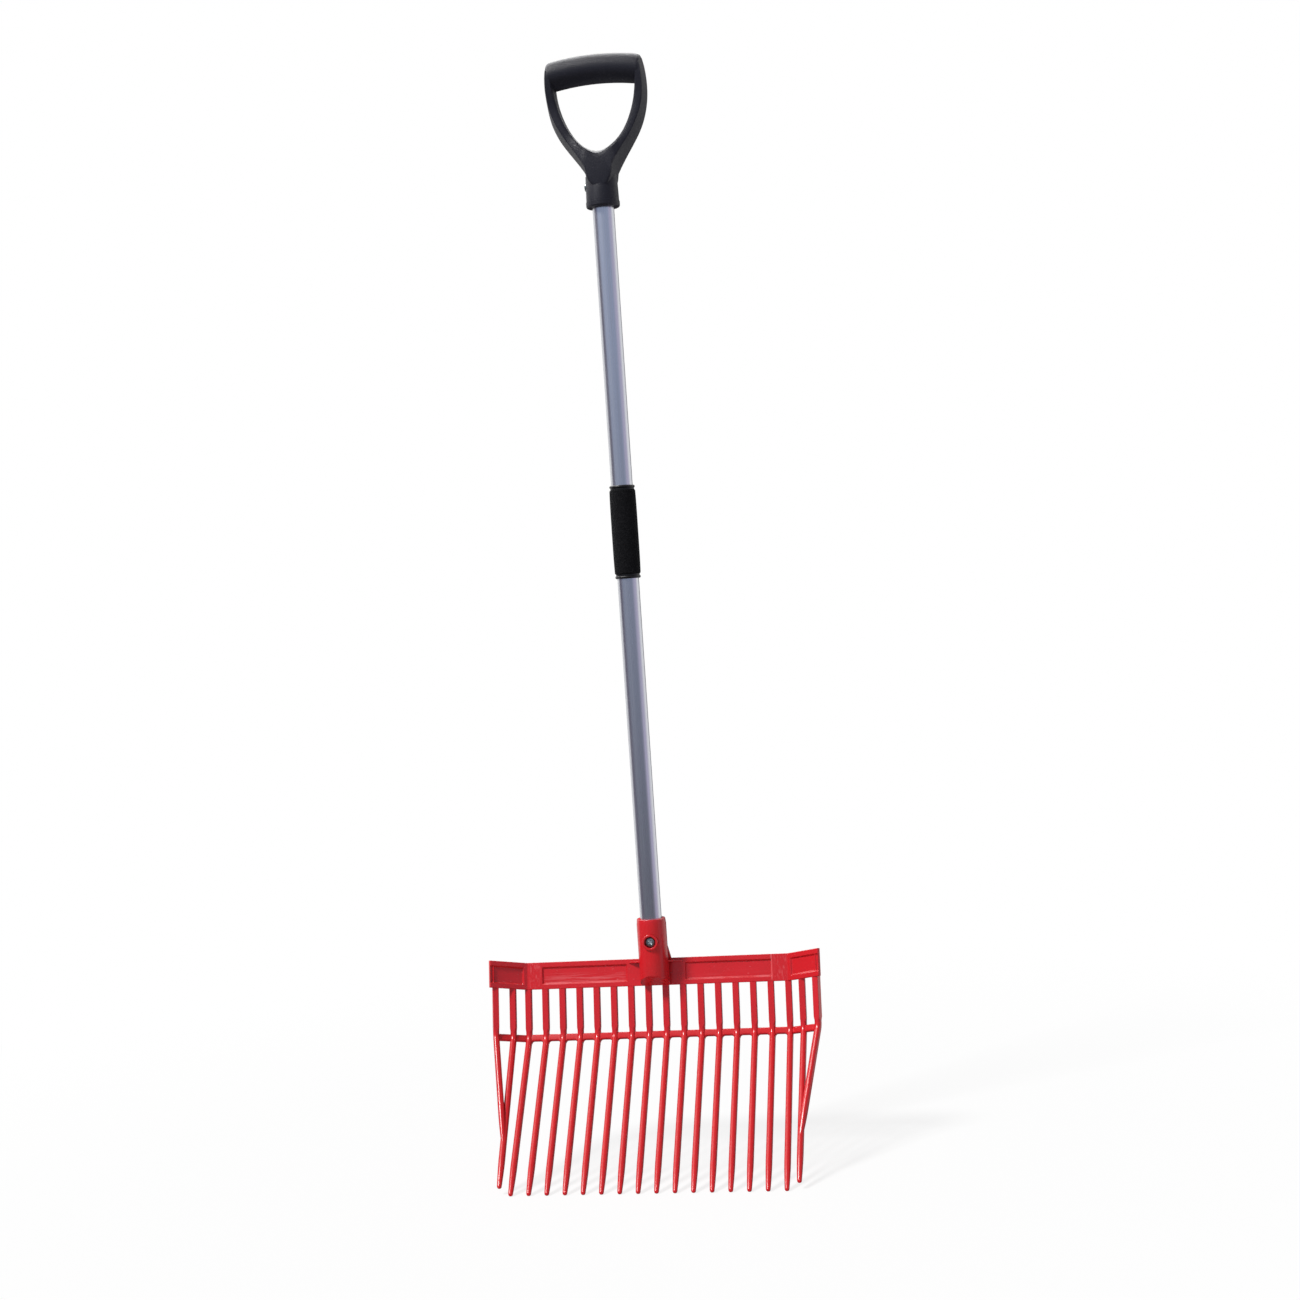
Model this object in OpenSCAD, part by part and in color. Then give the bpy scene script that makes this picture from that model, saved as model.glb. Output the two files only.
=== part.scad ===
// Manure fork: a moulded head of long tines on an aluminium tube, with a foam hand grip and a D-handle.
// Millimetres, +Z up along the tube, the hollow side of the tines towards -Y.
// The origin is the middle of the hand bar's underside, where the fork hangs on a peg.

/* [Tube] */
// Outside diameter of the tube
tube_d = 25; // [22:0.5:26]
// Wall of the tube
tube_wall = 1.5; // [1:0.1:2.5]
// Bare length of the tube between the head's socket and the handle's ferrule
tube_bare = 824.5; // [500:0.5:1100]
// Depth of the tube in the head's socket
tube_in_head = 60; // [45:1:64]
// Depth of the tube in the handle's ferrule
tube_in_handle = 44; // [32:1:48]
// Radial play of the tube in socket and ferrule
tube_play = 0.15; // [0.05:0.05:0.3]

/* [Handle] */
// Width of the handle over its arms
handle_w = 118; // [105:1:140]
// Diameter of the hand bar
bar_d = 33.5; // [28:0.5:36]
// Rise of the hand bar's middle over its ends
bar_rise = 5.5; // [0:0.5:8]
// Rounding of the hand bar's ends
bar_round = 4; // [1:0.5:6]
// Height of the hand opening below the bar
open_h = 79; // [70:0.5:95]
// Depth of the arms from front to back
arm_depth = 22; // [18:0.5:26]
// Height of the solid neck between the opening and the ferrule
neck_h = 27.5; // [24:0.5:36]
// Diameter of the ferrule at the neck
ferrule_d = 36.5; // [34:0.5:38]
// Diameter of the ferrule at its open end
ferrule_end_d = 39; // [37:0.5:42]
// Height of the ferrule
ferrule_h = 36; // [30:1:44]
// Height of the raised band round the open end
band_h = 7; // [4:0.5:10]
// Height that the band stands proud
band_t = 0.5; // [0.2:0.1:1]
// Rounding of the open end
ferrule_round = 2.5; // [1:0.25:4]

/* [Hand grip] */
// Distance of the grip below the ferrule
grip_drop = 320; // [150:1:450]
// Length of the foam sleeve
foam_l = 98; // [70:1:140]
// Diameter of the foam sleeve
foam_d = 30.8; // [29:0.1:36]
// Rounding of the foam sleeve's ends
foam_round = 2; // [0.5:0.25:2.5]
// Diameter of the end rings
ring_d = 29.6; // [28:0.1:32]
// Height of the bead of an end ring
ring_h = 3.5; // [2.5:0.25:5]
// Diameter of the groove between a ring and the foam
groove_d = 27.6; // [26.5:0.1:28.5]
// Height of that groove
groove_h = 1.5; // [1:0.25:3]
// Radial play of foam and rings on the tube
grip_play = 0.3; // [0.2:0.05:0.4]

/* [Fork head] */
// Height of the socket above the plate's lower edge
socket_h = 80.5; // [72:0.5:100]
// Outside diameter of the socket
socket_d = 34.5; // [33:0.5:40]
// Height of the slanted lower front of the socket
tail_h = 15; // [8:0.5:18]
// Set-back of the plate's lower edge behind the tube's axis
blade_y = 7; // [4:0.5:9]
// Tilt of the plate and the upper tines from the tube
blade_tilt = 12.5; // [8:0.5:18]
// Height of the plate
plate_h = 31.5; // [26:0.5:40]
// Thickness of the plate
plate_t = 4.5; // [3.5:0.1:6]
// Depth of the plate's recessed panels
recess_d = 2.2; // [1:0.1:2.5]
// Rim left round a panel
rim_w = 6.3; // [4:0.1:8]
// Length of each folded wing
wing_l = 47.5; // [46:0.5:60]
// Angle at which the wings fold forward
wing_fold = 36.7; // [25:0.1:45]
// Rise of the wing's outer end
wing_rise = 3.6; // [0:0.1:6]
// Rounding of the wing's corners
wing_round = 2.5; // [1:0.25:4]

/* [Tines] */
// Number of tines between the folds
tines_main = 16; // [10:2:18]
// Distance from tine to tine
pitch = 20.6; // [18:0.1:24]
// Width of a tine
tine_w = 7.2; // [6:0.1:9]
// Depth of a tine from front to back
tine_depth = 8.5; // [7.5:0.1:10]
// Chamfer of a tine's edges below the crossbar
tine_chamfer = 1.8; // [1:0.1:2.4]
// Drop from the plate to the start of the bend
bend_drop = 51; // [40:0.5:65]
// Radius of the bend on its hollow side
bend_r = 15; // [10:0.5:25]
// Angle of the bend
bend_angle = 32.8; // [20:0.1:40]
// Straight length of a tine below the bend
prong_l = 198.4; // [150:0.2:240]
// Length of the tapered end of a tine
taper_l = 34; // [20:1:45]
// Diameter of a tine's rounded tip
tip_d = 5.2; // [3:0.1:5.5]
// Height of the crossbar at the bend
cross_h = 8; // [6:0.25:10]
// Thickness of the crossbar
cross_t = 5.5; // [4:0.25:7]
// Set-back of the crossbar behind the front of the tines
cross_set_back = 1.6; // [0.8:0.1:2.5]
// Fillet between the crossbar and the tines below it
web_r = 3; // [1.5:0.25:4.5]

/* [Screws] */
// Diameter of a screw's shank
screw_d = 5; // [4:0.25:6]
// Diameter of a screw's head
screw_head_d = 10.6; // [9:0.2:11.4]
// Height of a screw's head
screw_head_h = 3; // [2:0.1:3.6]
// Length of a screw's shank
screw_l = 10; // [8:0.5:14]
// Play round a screw's shank
screw_play = 0.1; // [0.05:0.05:0.2]
// Drop of the head's screw below the socket's mouth
head_screw_drop = 25.5; // [18:0.5:30]
// Diameter of the raised ring round that screw
boss_d = 18.4; // [17:0.2:20]
// Diameter of the counterbore in that ring
boss_bore_d = 13; // [12:0.2:14.5]
// Height that the ring stands in front of the socket
boss_rise = 2.2; // [1:0.1:4]
// Height of the handle's screw above the ferrule's open end
handle_screw_rise = 25.5; // [18:0.5:29]
// Height that the handle's screw head stands proud
handle_screw_proud = 1.4; // [0.8:0.1:2]

/* [Hidden] */
$fn = 64;

// Overrun of every cut past the face that it opens
over = 1;

// Heights down the tube, from the hanging point
ferrule_top_z = -(open_h + neck_h);
ferrule_end_z = ferrule_top_z - ferrule_h;
socket_top_z = ferrule_end_z - tube_bare;
plate_end_z = socket_top_z - socket_h;
tube_top_z = ferrule_end_z + tube_in_handle;
tube_end_z = socket_top_z - tube_in_head;
grip_top_z = ferrule_end_z - grip_drop;
ring_l = ring_h + groove_h;

// Places of the screws: height, and distance of the head's seat from the tube's axis
head_screw_z = socket_top_z - head_screw_drop;
seat_share = 0.45;
bore_r = tube_d / 2 + tube_play;
head_seat = bore_r + (socket_d / 2 - bore_r) * seat_share;
handle_screw_z = ferrule_end_z + handle_screw_rise;
ferrule_slope = (ferrule_end_d - ferrule_d) / 2 / ferrule_h;
ferrule_r_at_screw = ferrule_end_d / 2 - ferrule_slope * handle_screw_rise;
handle_seat = ferrule_r_at_screw + handle_screw_proud - screw_head_h;
head_play_share = 2;
head_play = screw_play * head_play_share;
screw_point_share = 0.4;
screw_rim_share = 0.45;
screw_top_share = 0.72;
slot_w_share = 0.16;
slot_l_share = 0.6;
slot_d_share = 0.55;

// Hand bar and arms: outlines as shares of the sizes that they follow
handle_half = handle_w / 2;
bar_r = bar_d / 2;
bar_end_share = 0.94;
bar_end_x = handle_half * bar_end_share;
bar_end_z = bar_r - bar_rise;
bar_round_steps = 4;
bar_steps = 8;
bar_sides = 24;
arm_steps = 20;
inner_x_shares = [0.811, 0.866, 0.358, 0];
inner_top_share = 0.6;
inner_drop_share = 0.5;
outer_x_shares = [0.94, 1.197, 0.58];
outer_top_share = 0.745;
outer_drop_shares = [0.67, 0.89];
neck_x_share = 0.98;
neck_end_share = 0.91;
neck_depth_share = 0.96;
neck_drop_share = 0.75;
cone_h_share = 0.5;
cone_r_share = 0.5;
// Shares of an arm's run: where it leaves the bar, thickens into the neck, turns into the ferrule,
// and where its flat front begins to widen again
leave_share = 0.3;
thicken_share = 0.5;
turn_share = 0.85;
widen_share = 0.55;

inner_curve = [
    [handle_half * inner_x_shares[0], bar_d * inner_top_share],
    [handle_half * inner_x_shares[1], -open_h * inner_drop_share],
    [handle_half * inner_x_shares[2], -open_h],
    [handle_half * inner_x_shares[3], -open_h]
];
outer_curve = [
    [handle_half * outer_x_shares[0], bar_d * outer_top_share],
    [handle_half * outer_x_shares[1], -open_h * outer_drop_shares[0]],
    [handle_half * outer_x_shares[2], -open_h * outer_drop_shares[1]],
    [ferrule_d / 2 * neck_x_share, -open_h - neck_h * neck_end_share]
];

// An arm's section at the bar and on its way to the neck, from its inner to its outer side and from
// front to back: a round edge at the opening, a flat front, and a crease to the sloping outer side
arm_bar_shares = [
    [-1, -0.62], [-0.88, -0.88], [-0.62, -1], [0.5, -1], [0.68, -0.9], [0.86, -0.3], [0.97, 0.3],
    [1, 0.7], [0.9, 0.93], [0.65, 1], [-0.7, 1], [-0.93, 0.85], [-1, 0.6]
];
arm_neck_shares = [
    [-1, -0.62], [-0.88, -0.88], [-0.62, -1], [0.05, -1], [0.2, -0.94], [0.5, -0.4], [0.8, 0.15],
    [1, 0.65], [0.95, 0.88], [0.72, 1], [-0.7, 1], [-0.93, 0.85], [-1, 0.6]
];

// Fork head
fold_x = (tines_main - 1) / 2 * pitch;
gap_w = pitch - tine_w;
tine_set_share = 0.08;
tine_set_back = plate_t * tine_set_share;
root_share = 1.6;
root_rise = rim_w * root_share;
root_back_share = 0.5;
root_back = plate_t * root_back_share;
tip_r = tip_d / 2;
// The bend is a hair slimmer than the two lengths that it joins
bend_inset_share = 0.01;
bend_inset = tine_w * bend_inset_share;
// The fillets of the crossbar end a little inside the tines
web_sunk_share = 0.04;
web_sunk = tine_w * web_sunk_share;
// Plate and wing lap each other at the fold, up to about the mitre of their backs
fold_mitre = plate_t * tan(wing_fold / 2);
lap_out_share = 0.87;
lap_in_share = 1.34;
fold_lap_out = fold_mitre * lap_out_share;
fold_lap_in = fold_mitre * lap_in_share;
panel_inner_x = socket_d;
fold_pad_share = 0.875;
panel_outer_x = fold_x - pitch * fold_pad_share;
panel_round_share = 0.25;
panel_round = rim_w * panel_round_share;
wing_rim_share = 0.75;
wing_slope = wing_rise / wing_l;
// Tines on each wing, from the fold outwards: their roll about the tube, bend and length.
// The outer one leans in and ends in the inner one
wing_roll_shares = [0.05, 0.54];
wing_bend_shares = [0.925, 0.813];
wing_tines = len(wing_roll_shares);
inner_prong_share = 0.94;
join_pitch_share = 6.4;
wing_prongs = [prong_l * inner_prong_share, pitch * join_pitch_share];
corner_steps = 5;
gusset_h_share = 0.42;
gusset_w_share = 0.05;
gusset_h = socket_d * gusset_h_share;
gusset_w = socket_d * gusset_w_share;
fin_t_share = 0.45;
fin_v_share = 0.84;
fin_t = plate_t * fin_t_share;
fin_v = plate_h * fin_v_share;

module fork_head() {
    color("#c4262f")
    difference() {
        union() {
            socket();
            on_blade() {
                plate();
                crossbar();
                for (i = [0 : tines_main - 1])
                    translate([i * pitch - fold_x, 0, -tine_set_back])
                        tine(bend_angle, prong_l);
                for (side = [0, 1])
                    mirror([side, 0, 0])
                        wing_and_fin();
            }
        }
        tube_bore(tube_end_z, socket_top_z + over);
        on_blade() panels();
        in_head_screw() {
            translate([0, 0, -screw_l])
                cylinder(h = screw_l + over, d = screw_d + 2 * screw_play);
            cylinder(h = socket_d, d = boss_bore_d);
        }
    }
}

// The blade's own frame: X across, Y up the plate, Z out of its front, from the plate's lower front edge
module on_blade()
    translate([0, blade_y, plate_end_z])
        rotate([90 - blade_tilt, 0, 0])
            children();

// The right wing's frame, turned forward about the fold
module on_wing()
    translate([fold_x, 0, 0])
        rotate([0, -wing_fold, 0])
            children();

module socket() {
    tail_run = socket_d / 2 + blade_y;
    difference() {
        translate([0, 0, plate_end_z])
            cylinder(h = socket_h, d = socket_d);
        translate([0, blade_y, plate_end_z])
            rotate([-atan(tail_h / tail_run), 0, 0])
                translate([-socket_d, -2 * tail_run, -socket_h])
                    cube([2 * socket_d, 2 * tail_run, socket_h]);
    }
    in_head_screw()
        translate([0, 0, -tube_play])
            cylinder(h = socket_d / 2 + boss_rise - head_seat + tube_play, d = boss_d);
    for (side = [0, 1])
        mirror([side, 0, 0])
            side_gusset();
}

// Upright web that stiffens the socket where it leaves the plate's upper edge
module side_gusset() {
    plate_top_y = blade_y + plate_h * sin(blade_tilt);
    plate_top_z = plate_end_z + plate_h * cos(blade_tilt);
    reach = socket_d / 2 + gusset_w;
    translate([0, plate_top_y, plate_top_z])
        rotate([90, 0, 0])
            linear_extrude(plate_t)
                polygon([
                    [0, -plate_t], [reach, -plate_t], [reach, 0],
                    [socket_d / 2 - gusset_w, gusset_h], [0, gusset_h]
                ]);
}

module plate() {
    half = fold_x + fold_lap_out;
    translate([-half, 0, -plate_t])
        cube([2 * half, plate_h, plate_t]);
}

module wing_and_fin() {
    on_wing() {
        translate([0, 0, -plate_t])
            linear_extrude(plate_t)
                polygon(wing_outline());
        bar_z = -cross_set_back - cross_t - wing_set_back(wing_tines - 1);
        at_bend(bend_angle / 2)
            rotate([0, 0, atan(wing_slope)])
                translate([-tine_w / 2, -cross_h / 2, bar_z])
                    cube([tine_w / 2 + wing_tines * pitch, cross_h, cross_t]);
    }
    for (i = [0 : wing_tines - 1]) {
        out = (i + 1) * pitch;
        roll = wing_fold * wing_roll_shares[i];
        translate([fold_x + out * cos(wing_fold), wing_slope * out,
                   out * sin(wing_fold) - tine_set_back - wing_set_back(i)])
            rotate([0, -roll, 0])
                tine(bend_angle * wing_bend_shares[i], wing_prongs[i]);
    }
    front_fin();
}

// Further set-back of a wing's tine, which is turned less than the wing, so that no edge stands in front
function wing_set_back(i) = tine_w / 2 * sin(wing_fold * (1 - wing_roll_shares[i]));

// Small web from the plate's front to the side of the socket
module front_fin() {
    lean = blade_y / cos(blade_tilt) + fin_v * tan(blade_tilt);
    translate([0, fin_v, 0])
        rotate([90, 0, 0])
            linear_extrude(fin_t)
                polygon([
                    [0, -recess_d], [panel_inner_x - panel_round, -recess_d],
                    [panel_inner_x - panel_round, 0], [socket_d / 2 - panel_round, lean], [0, lean]
                ]);
}

// Wing outline with its two outer corners rounded
function wing_outline() = concat(
    [[-fold_lap_in, plate_h - fold_lap_in * wing_slope], [-fold_lap_in, fold_lap_in * wing_slope]],
    corner([0, 0], [wing_l, wing_rise], [wing_l, wing_rise + plate_h], wing_round),
    corner([wing_l, wing_rise], [wing_l, wing_rise + plate_h], [0, plate_h], wing_round)
);

function unit(v) = v / norm(v);

// Points of a fillet of radius r in the corner at p, coming from a and going on to b
function corner(a, p, b, r) =
    let (u = unit(a - p), v = unit(b - p), half = acos(u * v) / 2,
         centre = p + unit(u + v) * r / sin(half),
         from = p + u * r / tan(half) - centre, to = p + v * r / tan(half) - centre)
    [for (i = [0 : corner_steps]) let (k = i / corner_steps) centre + unit(from * (1 - k) + to * k) * r];

// Recessed panels, as the cutters that make them
module panels() {
    panel_w = panel_outer_x - panel_inner_x;
    panel_h = plate_h - 2 * rim_w;
    wing_rim = rim_w * wing_rim_share;
    wing_out = wing_l - wing_rim;
    for (side = [0, 1])
        mirror([side, 0, 0]) {
            translate([panel_inner_x, rim_w, -recess_d])
                linear_extrude(recess_d + over)
                    rounded(panel_w, panel_h, panel_round);
            on_wing()
                translate([0, 0, -recess_d])
                    linear_extrude(recess_d + over)
                        polygon([
                            [wing_rim, rim_w + wing_slope * wing_rim],
                            [wing_out, rim_w + wing_slope * wing_out],
                            [wing_out, rim_w + panel_h + wing_slope * wing_out],
                            [wing_rim, rim_w + panel_h + wing_slope * wing_rim]
                        ]);
        }
}

// Rectangle of w by h with rounded corners, from its lower left corner
module rounded(w, h, r) {
    translate([r, 0]) square([w - 2 * r, h]);
    translate([0, r]) square([w, h - 2 * r]);
    for (x = [r, w - r], y = [r, h - r])
        translate([x, y]) circle(r = r);
}

// The frame at a given angle round the bend, with its front face at the front of the tines
module at_bend(angle)
    translate([0, -bend_drop, bend_r - tine_set_back])
        rotate([-angle, 0, 0])
            translate([0, 0, -bend_r])
                children();

// Bar through all the tines between the folds, filleted into them below
module crossbar()
    at_bend(bend_angle / 2)
        translate([0, 0, -cross_set_back - cross_t])
            linear_extrude(cross_t)
                difference() {
                    translate([-fold_x, -cross_h / 2 - web_r])
                        square([2 * fold_x, cross_h + web_r]);
                    for (i = [1 : tines_main - 1])
                        translate([i * pitch - pitch / 2 - fold_x, -cross_h / 2])
                            gap_end();
                }

// Upper end of the gap between two tines, with round corners
module gap_end() {
    reach = 2 * web_r + over;
    half = gap_w / 2 + web_sunk;
    straight = half - web_r;
    translate([-straight, -reach]) square([2 * straight, reach]);
    translate([-half, -reach]) square([2 * half, reach - web_r]);
    for (x = [-straight, straight])
        translate([x, -web_r]) circle(r = web_r);
}

// One tine, from its root behind the plate down round the bend to the tip
module tine(bend, straight_l) {
    rotate([90, 0, 90])
        linear_extrude(tine_w, center = true)
            polygon([
                [-bend_drop, 0], [root_rise, 0], [root_rise, -root_back],
                [root_rise - tine_depth + root_back, -tine_depth], [-bend_drop, -tine_depth]
            ]);
    translate([0, -bend_drop, bend_r]) {
        rotate([180, 90, 0])
            rotate_extrude(angle = bend)
                translate([bend_r, 0])
                    rotate([0, 0, 90])
                        tine_section(bend_inset);
        rotate([-bend, 0, 0])
            translate([0, 0, -bend_r])
                rotate([90, 0, 0])
                    prong(straight_l);
    }
}

// Straight lower length of a tine, drawn out to a blunt round tip
module prong(l)
    intersection() {
        linear_extrude(l)
            tine_section(0);
        translate([0, -tine_depth / 2, 0]) {
            cylinder(h = l - taper_l, r = tine_depth);
            translate([0, 0, l - taper_l])
                cylinder(h = taper_l - tip_r, r1 = tine_depth / 2, r2 = tip_r);
            translate([0, 0, l - tip_r])
                sphere(r = tip_r);
        }
    }

// Cross-section of a tine, with its front on the X axis, drawn in by an inset all round
module tine_section(inset) {
    x = tine_w / 2 - inset;
    front = -inset;
    back = inset - tine_depth;
    polygon([
        [-x + tine_chamfer, front], [-x, front - tine_chamfer],
        [-x, back + tine_chamfer], [-x + tine_chamfer, back],
        [x - tine_chamfer, back], [x, back + tine_chamfer],
        [x, front - tine_chamfer], [x - tine_chamfer, front]
    ]);
}

module shaft_tube() {
    color("#aeb4bd")
    difference() {
        translate([0, 0, tube_end_z])
            cylinder(h = tube_top_z - tube_end_z, d = tube_d);
        translate([0, 0, tube_end_z - over])
            cylinder(h = tube_top_z - tube_end_z + 2 * over, d = tube_d - 2 * tube_wall);
        in_head_screw()
            translate([0, 0, -screw_l])
                cylinder(h = screw_l, d = screw_d + 2 * screw_play);
        in_handle_screw()
            translate([0, 0, -screw_l])
                cylinder(h = screw_l, d = screw_d + 2 * screw_play);
    }
}

module d_handle() {
    color("#26262b")
    difference() {
        union() {
            hand_bar();
            arms();
            ferrule();
        }
        tube_bore(ferrule_end_z - over, tube_top_z);
        in_handle_screw() {
            translate([0, 0, -screw_l])
                cylinder(h = screw_l + over, d = screw_d + 2 * screw_play);
            cylinder(h = ferrule_d, d = screw_head_d + 2 * head_play);
        }
    }
}

module tube_bore(z_low, z_high)
    translate([0, 0, z_low])
        cylinder(h = z_high - z_low, r = bore_r);

// Skin over a row of rings that all have the same number of points
module loft(rings) {
    sides = len(rings[0]);
    last = len(rings) - 1;
    walls = [
        for (i = [0 : last - 1], j = [0 : sides - 1])
            let (a = i * sides + j, b = i * sides + (j + 1) % sides)
            each [[a, b, b + sides], [a, b + sides, a + sides]]
    ];
    ends = [
        [for (j = [sides - 1 : -1 : 0]) j],
        [for (j = [0 : sides - 1]) last * sides + j]
    ];
    polyhedron([for (ring = rings) each ring], concat(walls, ends), convexity = 6);
}

// Slightly arched hand bar with rounded ends
module hand_bar() {
    straight_x = bar_end_x - bar_round;
    end_places = [
        for (i = [0 : bar_round_steps]) let (a = 90 * i / bar_round_steps)
            [straight_x + bar_round * cos(a), bar_r - bar_round + bar_round * sin(a)]
    ];
    places = concat(
        [for (p = end_places) [-p[0], p[1]]],
        [for (i = [1 : bar_steps - 1]) [straight_x * (2 * i / bar_steps - 1), bar_r]],
        [for (i = [bar_round_steps : -1 : 0]) end_places[i]]
    );
    loft([
        for (p = places)
            [for (j = [0 : bar_sides - 1]) let (a = 360 * j / bar_sides)
                [p[0], -p[1] * cos(a), bar_r - bar_rise * pow(p[0] / bar_end_x, 2) + p[1] * sin(a)]]
    ]);
}

function bezier(p, t) = pow(1 - t, 3) * p[0] + 3 * t * pow(1 - t, 2) * p[1]
    + 3 * t * t * (1 - t) * p[2] + pow(t, 3) * p[3];

function smooth(t) = t <= 0 ? 0 : t >= 1 ? 1 : t * t * (3 - 2 * t);

function past(t, share) = (t - share) / (1 - share);

// Outer side of an arm at t: down to the ferrule, then inwards and down inside it
function outer_at(t) = t <= turn_share
    ? bezier(outer_curve, t / turn_share)
    : outer_curve[3] - [outer_curve[3][0], neck_h * neck_drop_share] * past(t, turn_share);

// Half depth of an arm at t: flush with the bar, then slimmer, then as deep as the neck
function half_depth(t) =
    let (arm = arm_depth / 2, at_bar = bar_r - arm, at_neck = ferrule_d / 2 * neck_depth_share - arm,
         above = max(outer_at(t)[1] - bar_end_z, 0))
    min(arm + at_bar * (1 - smooth(t / leave_share)) + at_neck * smooth(past(t, thicken_share)),
        sqrt(bar_r * bar_r - above * above));

// Section through the right arm at t, from 0 in the bar to 1 under the opening
function arm_ring(t, side) =
    let (inner = bezier(inner_curve, t), outer = outer_at(t), middle = (inner + outer) / 2,
         half = (outer - inner) / 2, depth = half_depth(t),
         slope = smooth(t / thicken_share) * (1 - smooth(past(t, widen_share))))
    [for (j = [0 : len(arm_bar_shares) - 1])
        let (s = arm_bar_shares[j] * (1 - slope) + arm_neck_shares[j] * slope, p = middle + half * s[0])
        [side * p[0], depth * s[1], p[1]]];

// Both arms as one loop from bar end to bar end, thickening into the neck
module arms()
    loft(concat(
        [for (i = [0 : arm_steps]) arm_ring(i / arm_steps, 1)],
        [for (i = [arm_steps - 1 : -1 : 0]) arm_ring(i / arm_steps, -1)]
    ));

// Tapered ferrule with a band round its open end and a cone that runs up into the neck
module ferrule() {
    end_r = ferrule_end_d / 2;
    cone_top_z = ferrule_top_z + neck_h * cone_h_share;
    rotate_extrude() {
        polygon([
            [0, ferrule_end_z], [end_r - ferrule_round, ferrule_end_z],
            [end_r - ferrule_round, ferrule_end_z + ferrule_round],
            [end_r, ferrule_end_z + ferrule_round], [end_r, ferrule_end_z + band_h],
            [end_r - band_t, ferrule_end_z + band_h], [ferrule_d / 2, ferrule_top_z],
            [ferrule_d / 2 * cone_r_share, cone_top_z], [0, cone_top_z]
        ]);
        translate([end_r - ferrule_round, ferrule_end_z + ferrule_round])
            circle(r = ferrule_round);
    }
}

module foam_grip() {
    color("#151518")
    rotate_extrude()
        translate([tube_d / 2 + grip_play, grip_top_z - ring_l - foam_l])
            foam_section((foam_d - tube_d) / 2 - grip_play);
}

// Wall of the foam sleeve, rounded at its two outer corners
module foam_section(wall)
    intersection() {
        square([wall, foam_l]);
        translate([-foam_round, 0])
            rounded(wall + foam_round, foam_l, foam_round);
    }

module grip_ring_upper()
    translate([0, 0, grip_top_z])
        mirror([0, 0, 1])
            grip_ring();

module grip_ring_lower()
    translate([0, 0, grip_top_z - 2 * ring_l - foam_l])
        grip_ring();

// End ring: a round bead, then the groove that meets the foam
module grip_ring() {
    inner_r = tube_d / 2 + grip_play;
    bead_r = ring_h / 2;
    color("#1b1b1e")
    rotate_extrude() {
        translate([inner_r, 0])
            square([ring_d / 2 - bead_r - inner_r, ring_h]);
        translate([ring_d / 2 - bead_r, bead_r])
            intersection() {
                circle(r = bead_r);
                translate([0, -bead_r])
                    square([bead_r, ring_h]);
            }
        translate([inner_r, 0])
            square([groove_d / 2 - inner_r, ring_l]);
    }
}

// Frames of the two screws: Z along the screw, out of its head, from the head's seat
module in_head_screw()
    translate([0, -head_seat, head_screw_z])
        rotate([90, 0, 0])
            children();

module in_handle_screw()
    translate([-handle_seat, 0, handle_screw_z])
        rotate([0, -90, 0])
            children();

module head_screw()
    in_head_screw() screw();

module handle_screw()
    in_handle_screw() screw();

// Pan-head screw with a cross recess and a pointed shank
module screw() {
    rim_h = screw_head_h * screw_rim_share;
    point_h = screw_d * screw_point_share;
    slot = [screw_head_d * slot_l_share, screw_head_d * slot_w_share];
    color("#9aa09c")
    difference() {
        union() {
            cylinder(h = rim_h, d = screw_head_d);
            translate([0, 0, rim_h])
                cylinder(h = screw_head_h - rim_h, d1 = screw_head_d, d2 = screw_head_d * screw_top_share);
            translate([0, 0, -screw_l + point_h])
                cylinder(h = screw_l - point_h, d = screw_d);
            translate([0, 0, -screw_l])
                cylinder(h = point_h, d1 = screw_d * screw_point_share, d2 = screw_d);
        }
        for (turn = [0, 90])
            rotate([0, 0, turn])
                translate([-slot[0] / 2, -slot[1] / 2, screw_head_h * (1 - slot_d_share)])
                    cube([slot[0], slot[1], screw_head_h]);
    }
}

fork_head();
shaft_tube();
d_handle();
foam_grip();
grip_ring_upper();
grip_ring_lower();
head_screw();
handle_screw();
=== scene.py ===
"""Manure fork: a moulded head of bent tines on an aluminium tube, with a foam grip and a D-handle.

Run as a script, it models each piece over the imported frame, gives it its finish and sets a plain stage.
"""

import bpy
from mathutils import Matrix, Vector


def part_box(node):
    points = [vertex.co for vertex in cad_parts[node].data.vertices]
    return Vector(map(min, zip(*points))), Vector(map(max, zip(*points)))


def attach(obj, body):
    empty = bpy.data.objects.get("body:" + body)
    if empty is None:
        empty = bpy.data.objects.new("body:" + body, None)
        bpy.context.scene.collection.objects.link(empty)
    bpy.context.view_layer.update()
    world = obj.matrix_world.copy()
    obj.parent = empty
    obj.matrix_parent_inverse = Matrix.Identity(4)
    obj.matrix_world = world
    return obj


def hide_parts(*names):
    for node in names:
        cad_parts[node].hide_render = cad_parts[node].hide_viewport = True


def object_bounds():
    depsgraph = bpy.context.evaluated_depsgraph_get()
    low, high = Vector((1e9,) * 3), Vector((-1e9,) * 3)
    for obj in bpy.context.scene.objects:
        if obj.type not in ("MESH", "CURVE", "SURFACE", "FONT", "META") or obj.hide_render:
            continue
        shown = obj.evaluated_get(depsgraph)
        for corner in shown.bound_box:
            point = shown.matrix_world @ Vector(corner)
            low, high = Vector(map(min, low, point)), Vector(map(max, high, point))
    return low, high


bl_info = {
    "name": "Manure Fork",
    "version": (1, 0, 0),
    "blender": (4, 5, 0),
    "location": "View3D > Sidebar > Fork",
    "description": "Models a manure fork piece by piece, with its finishes and a plain stage",
    "category": "Add Mesh",
}

from math import atan, cos, pi, radians, sin, tan

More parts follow.
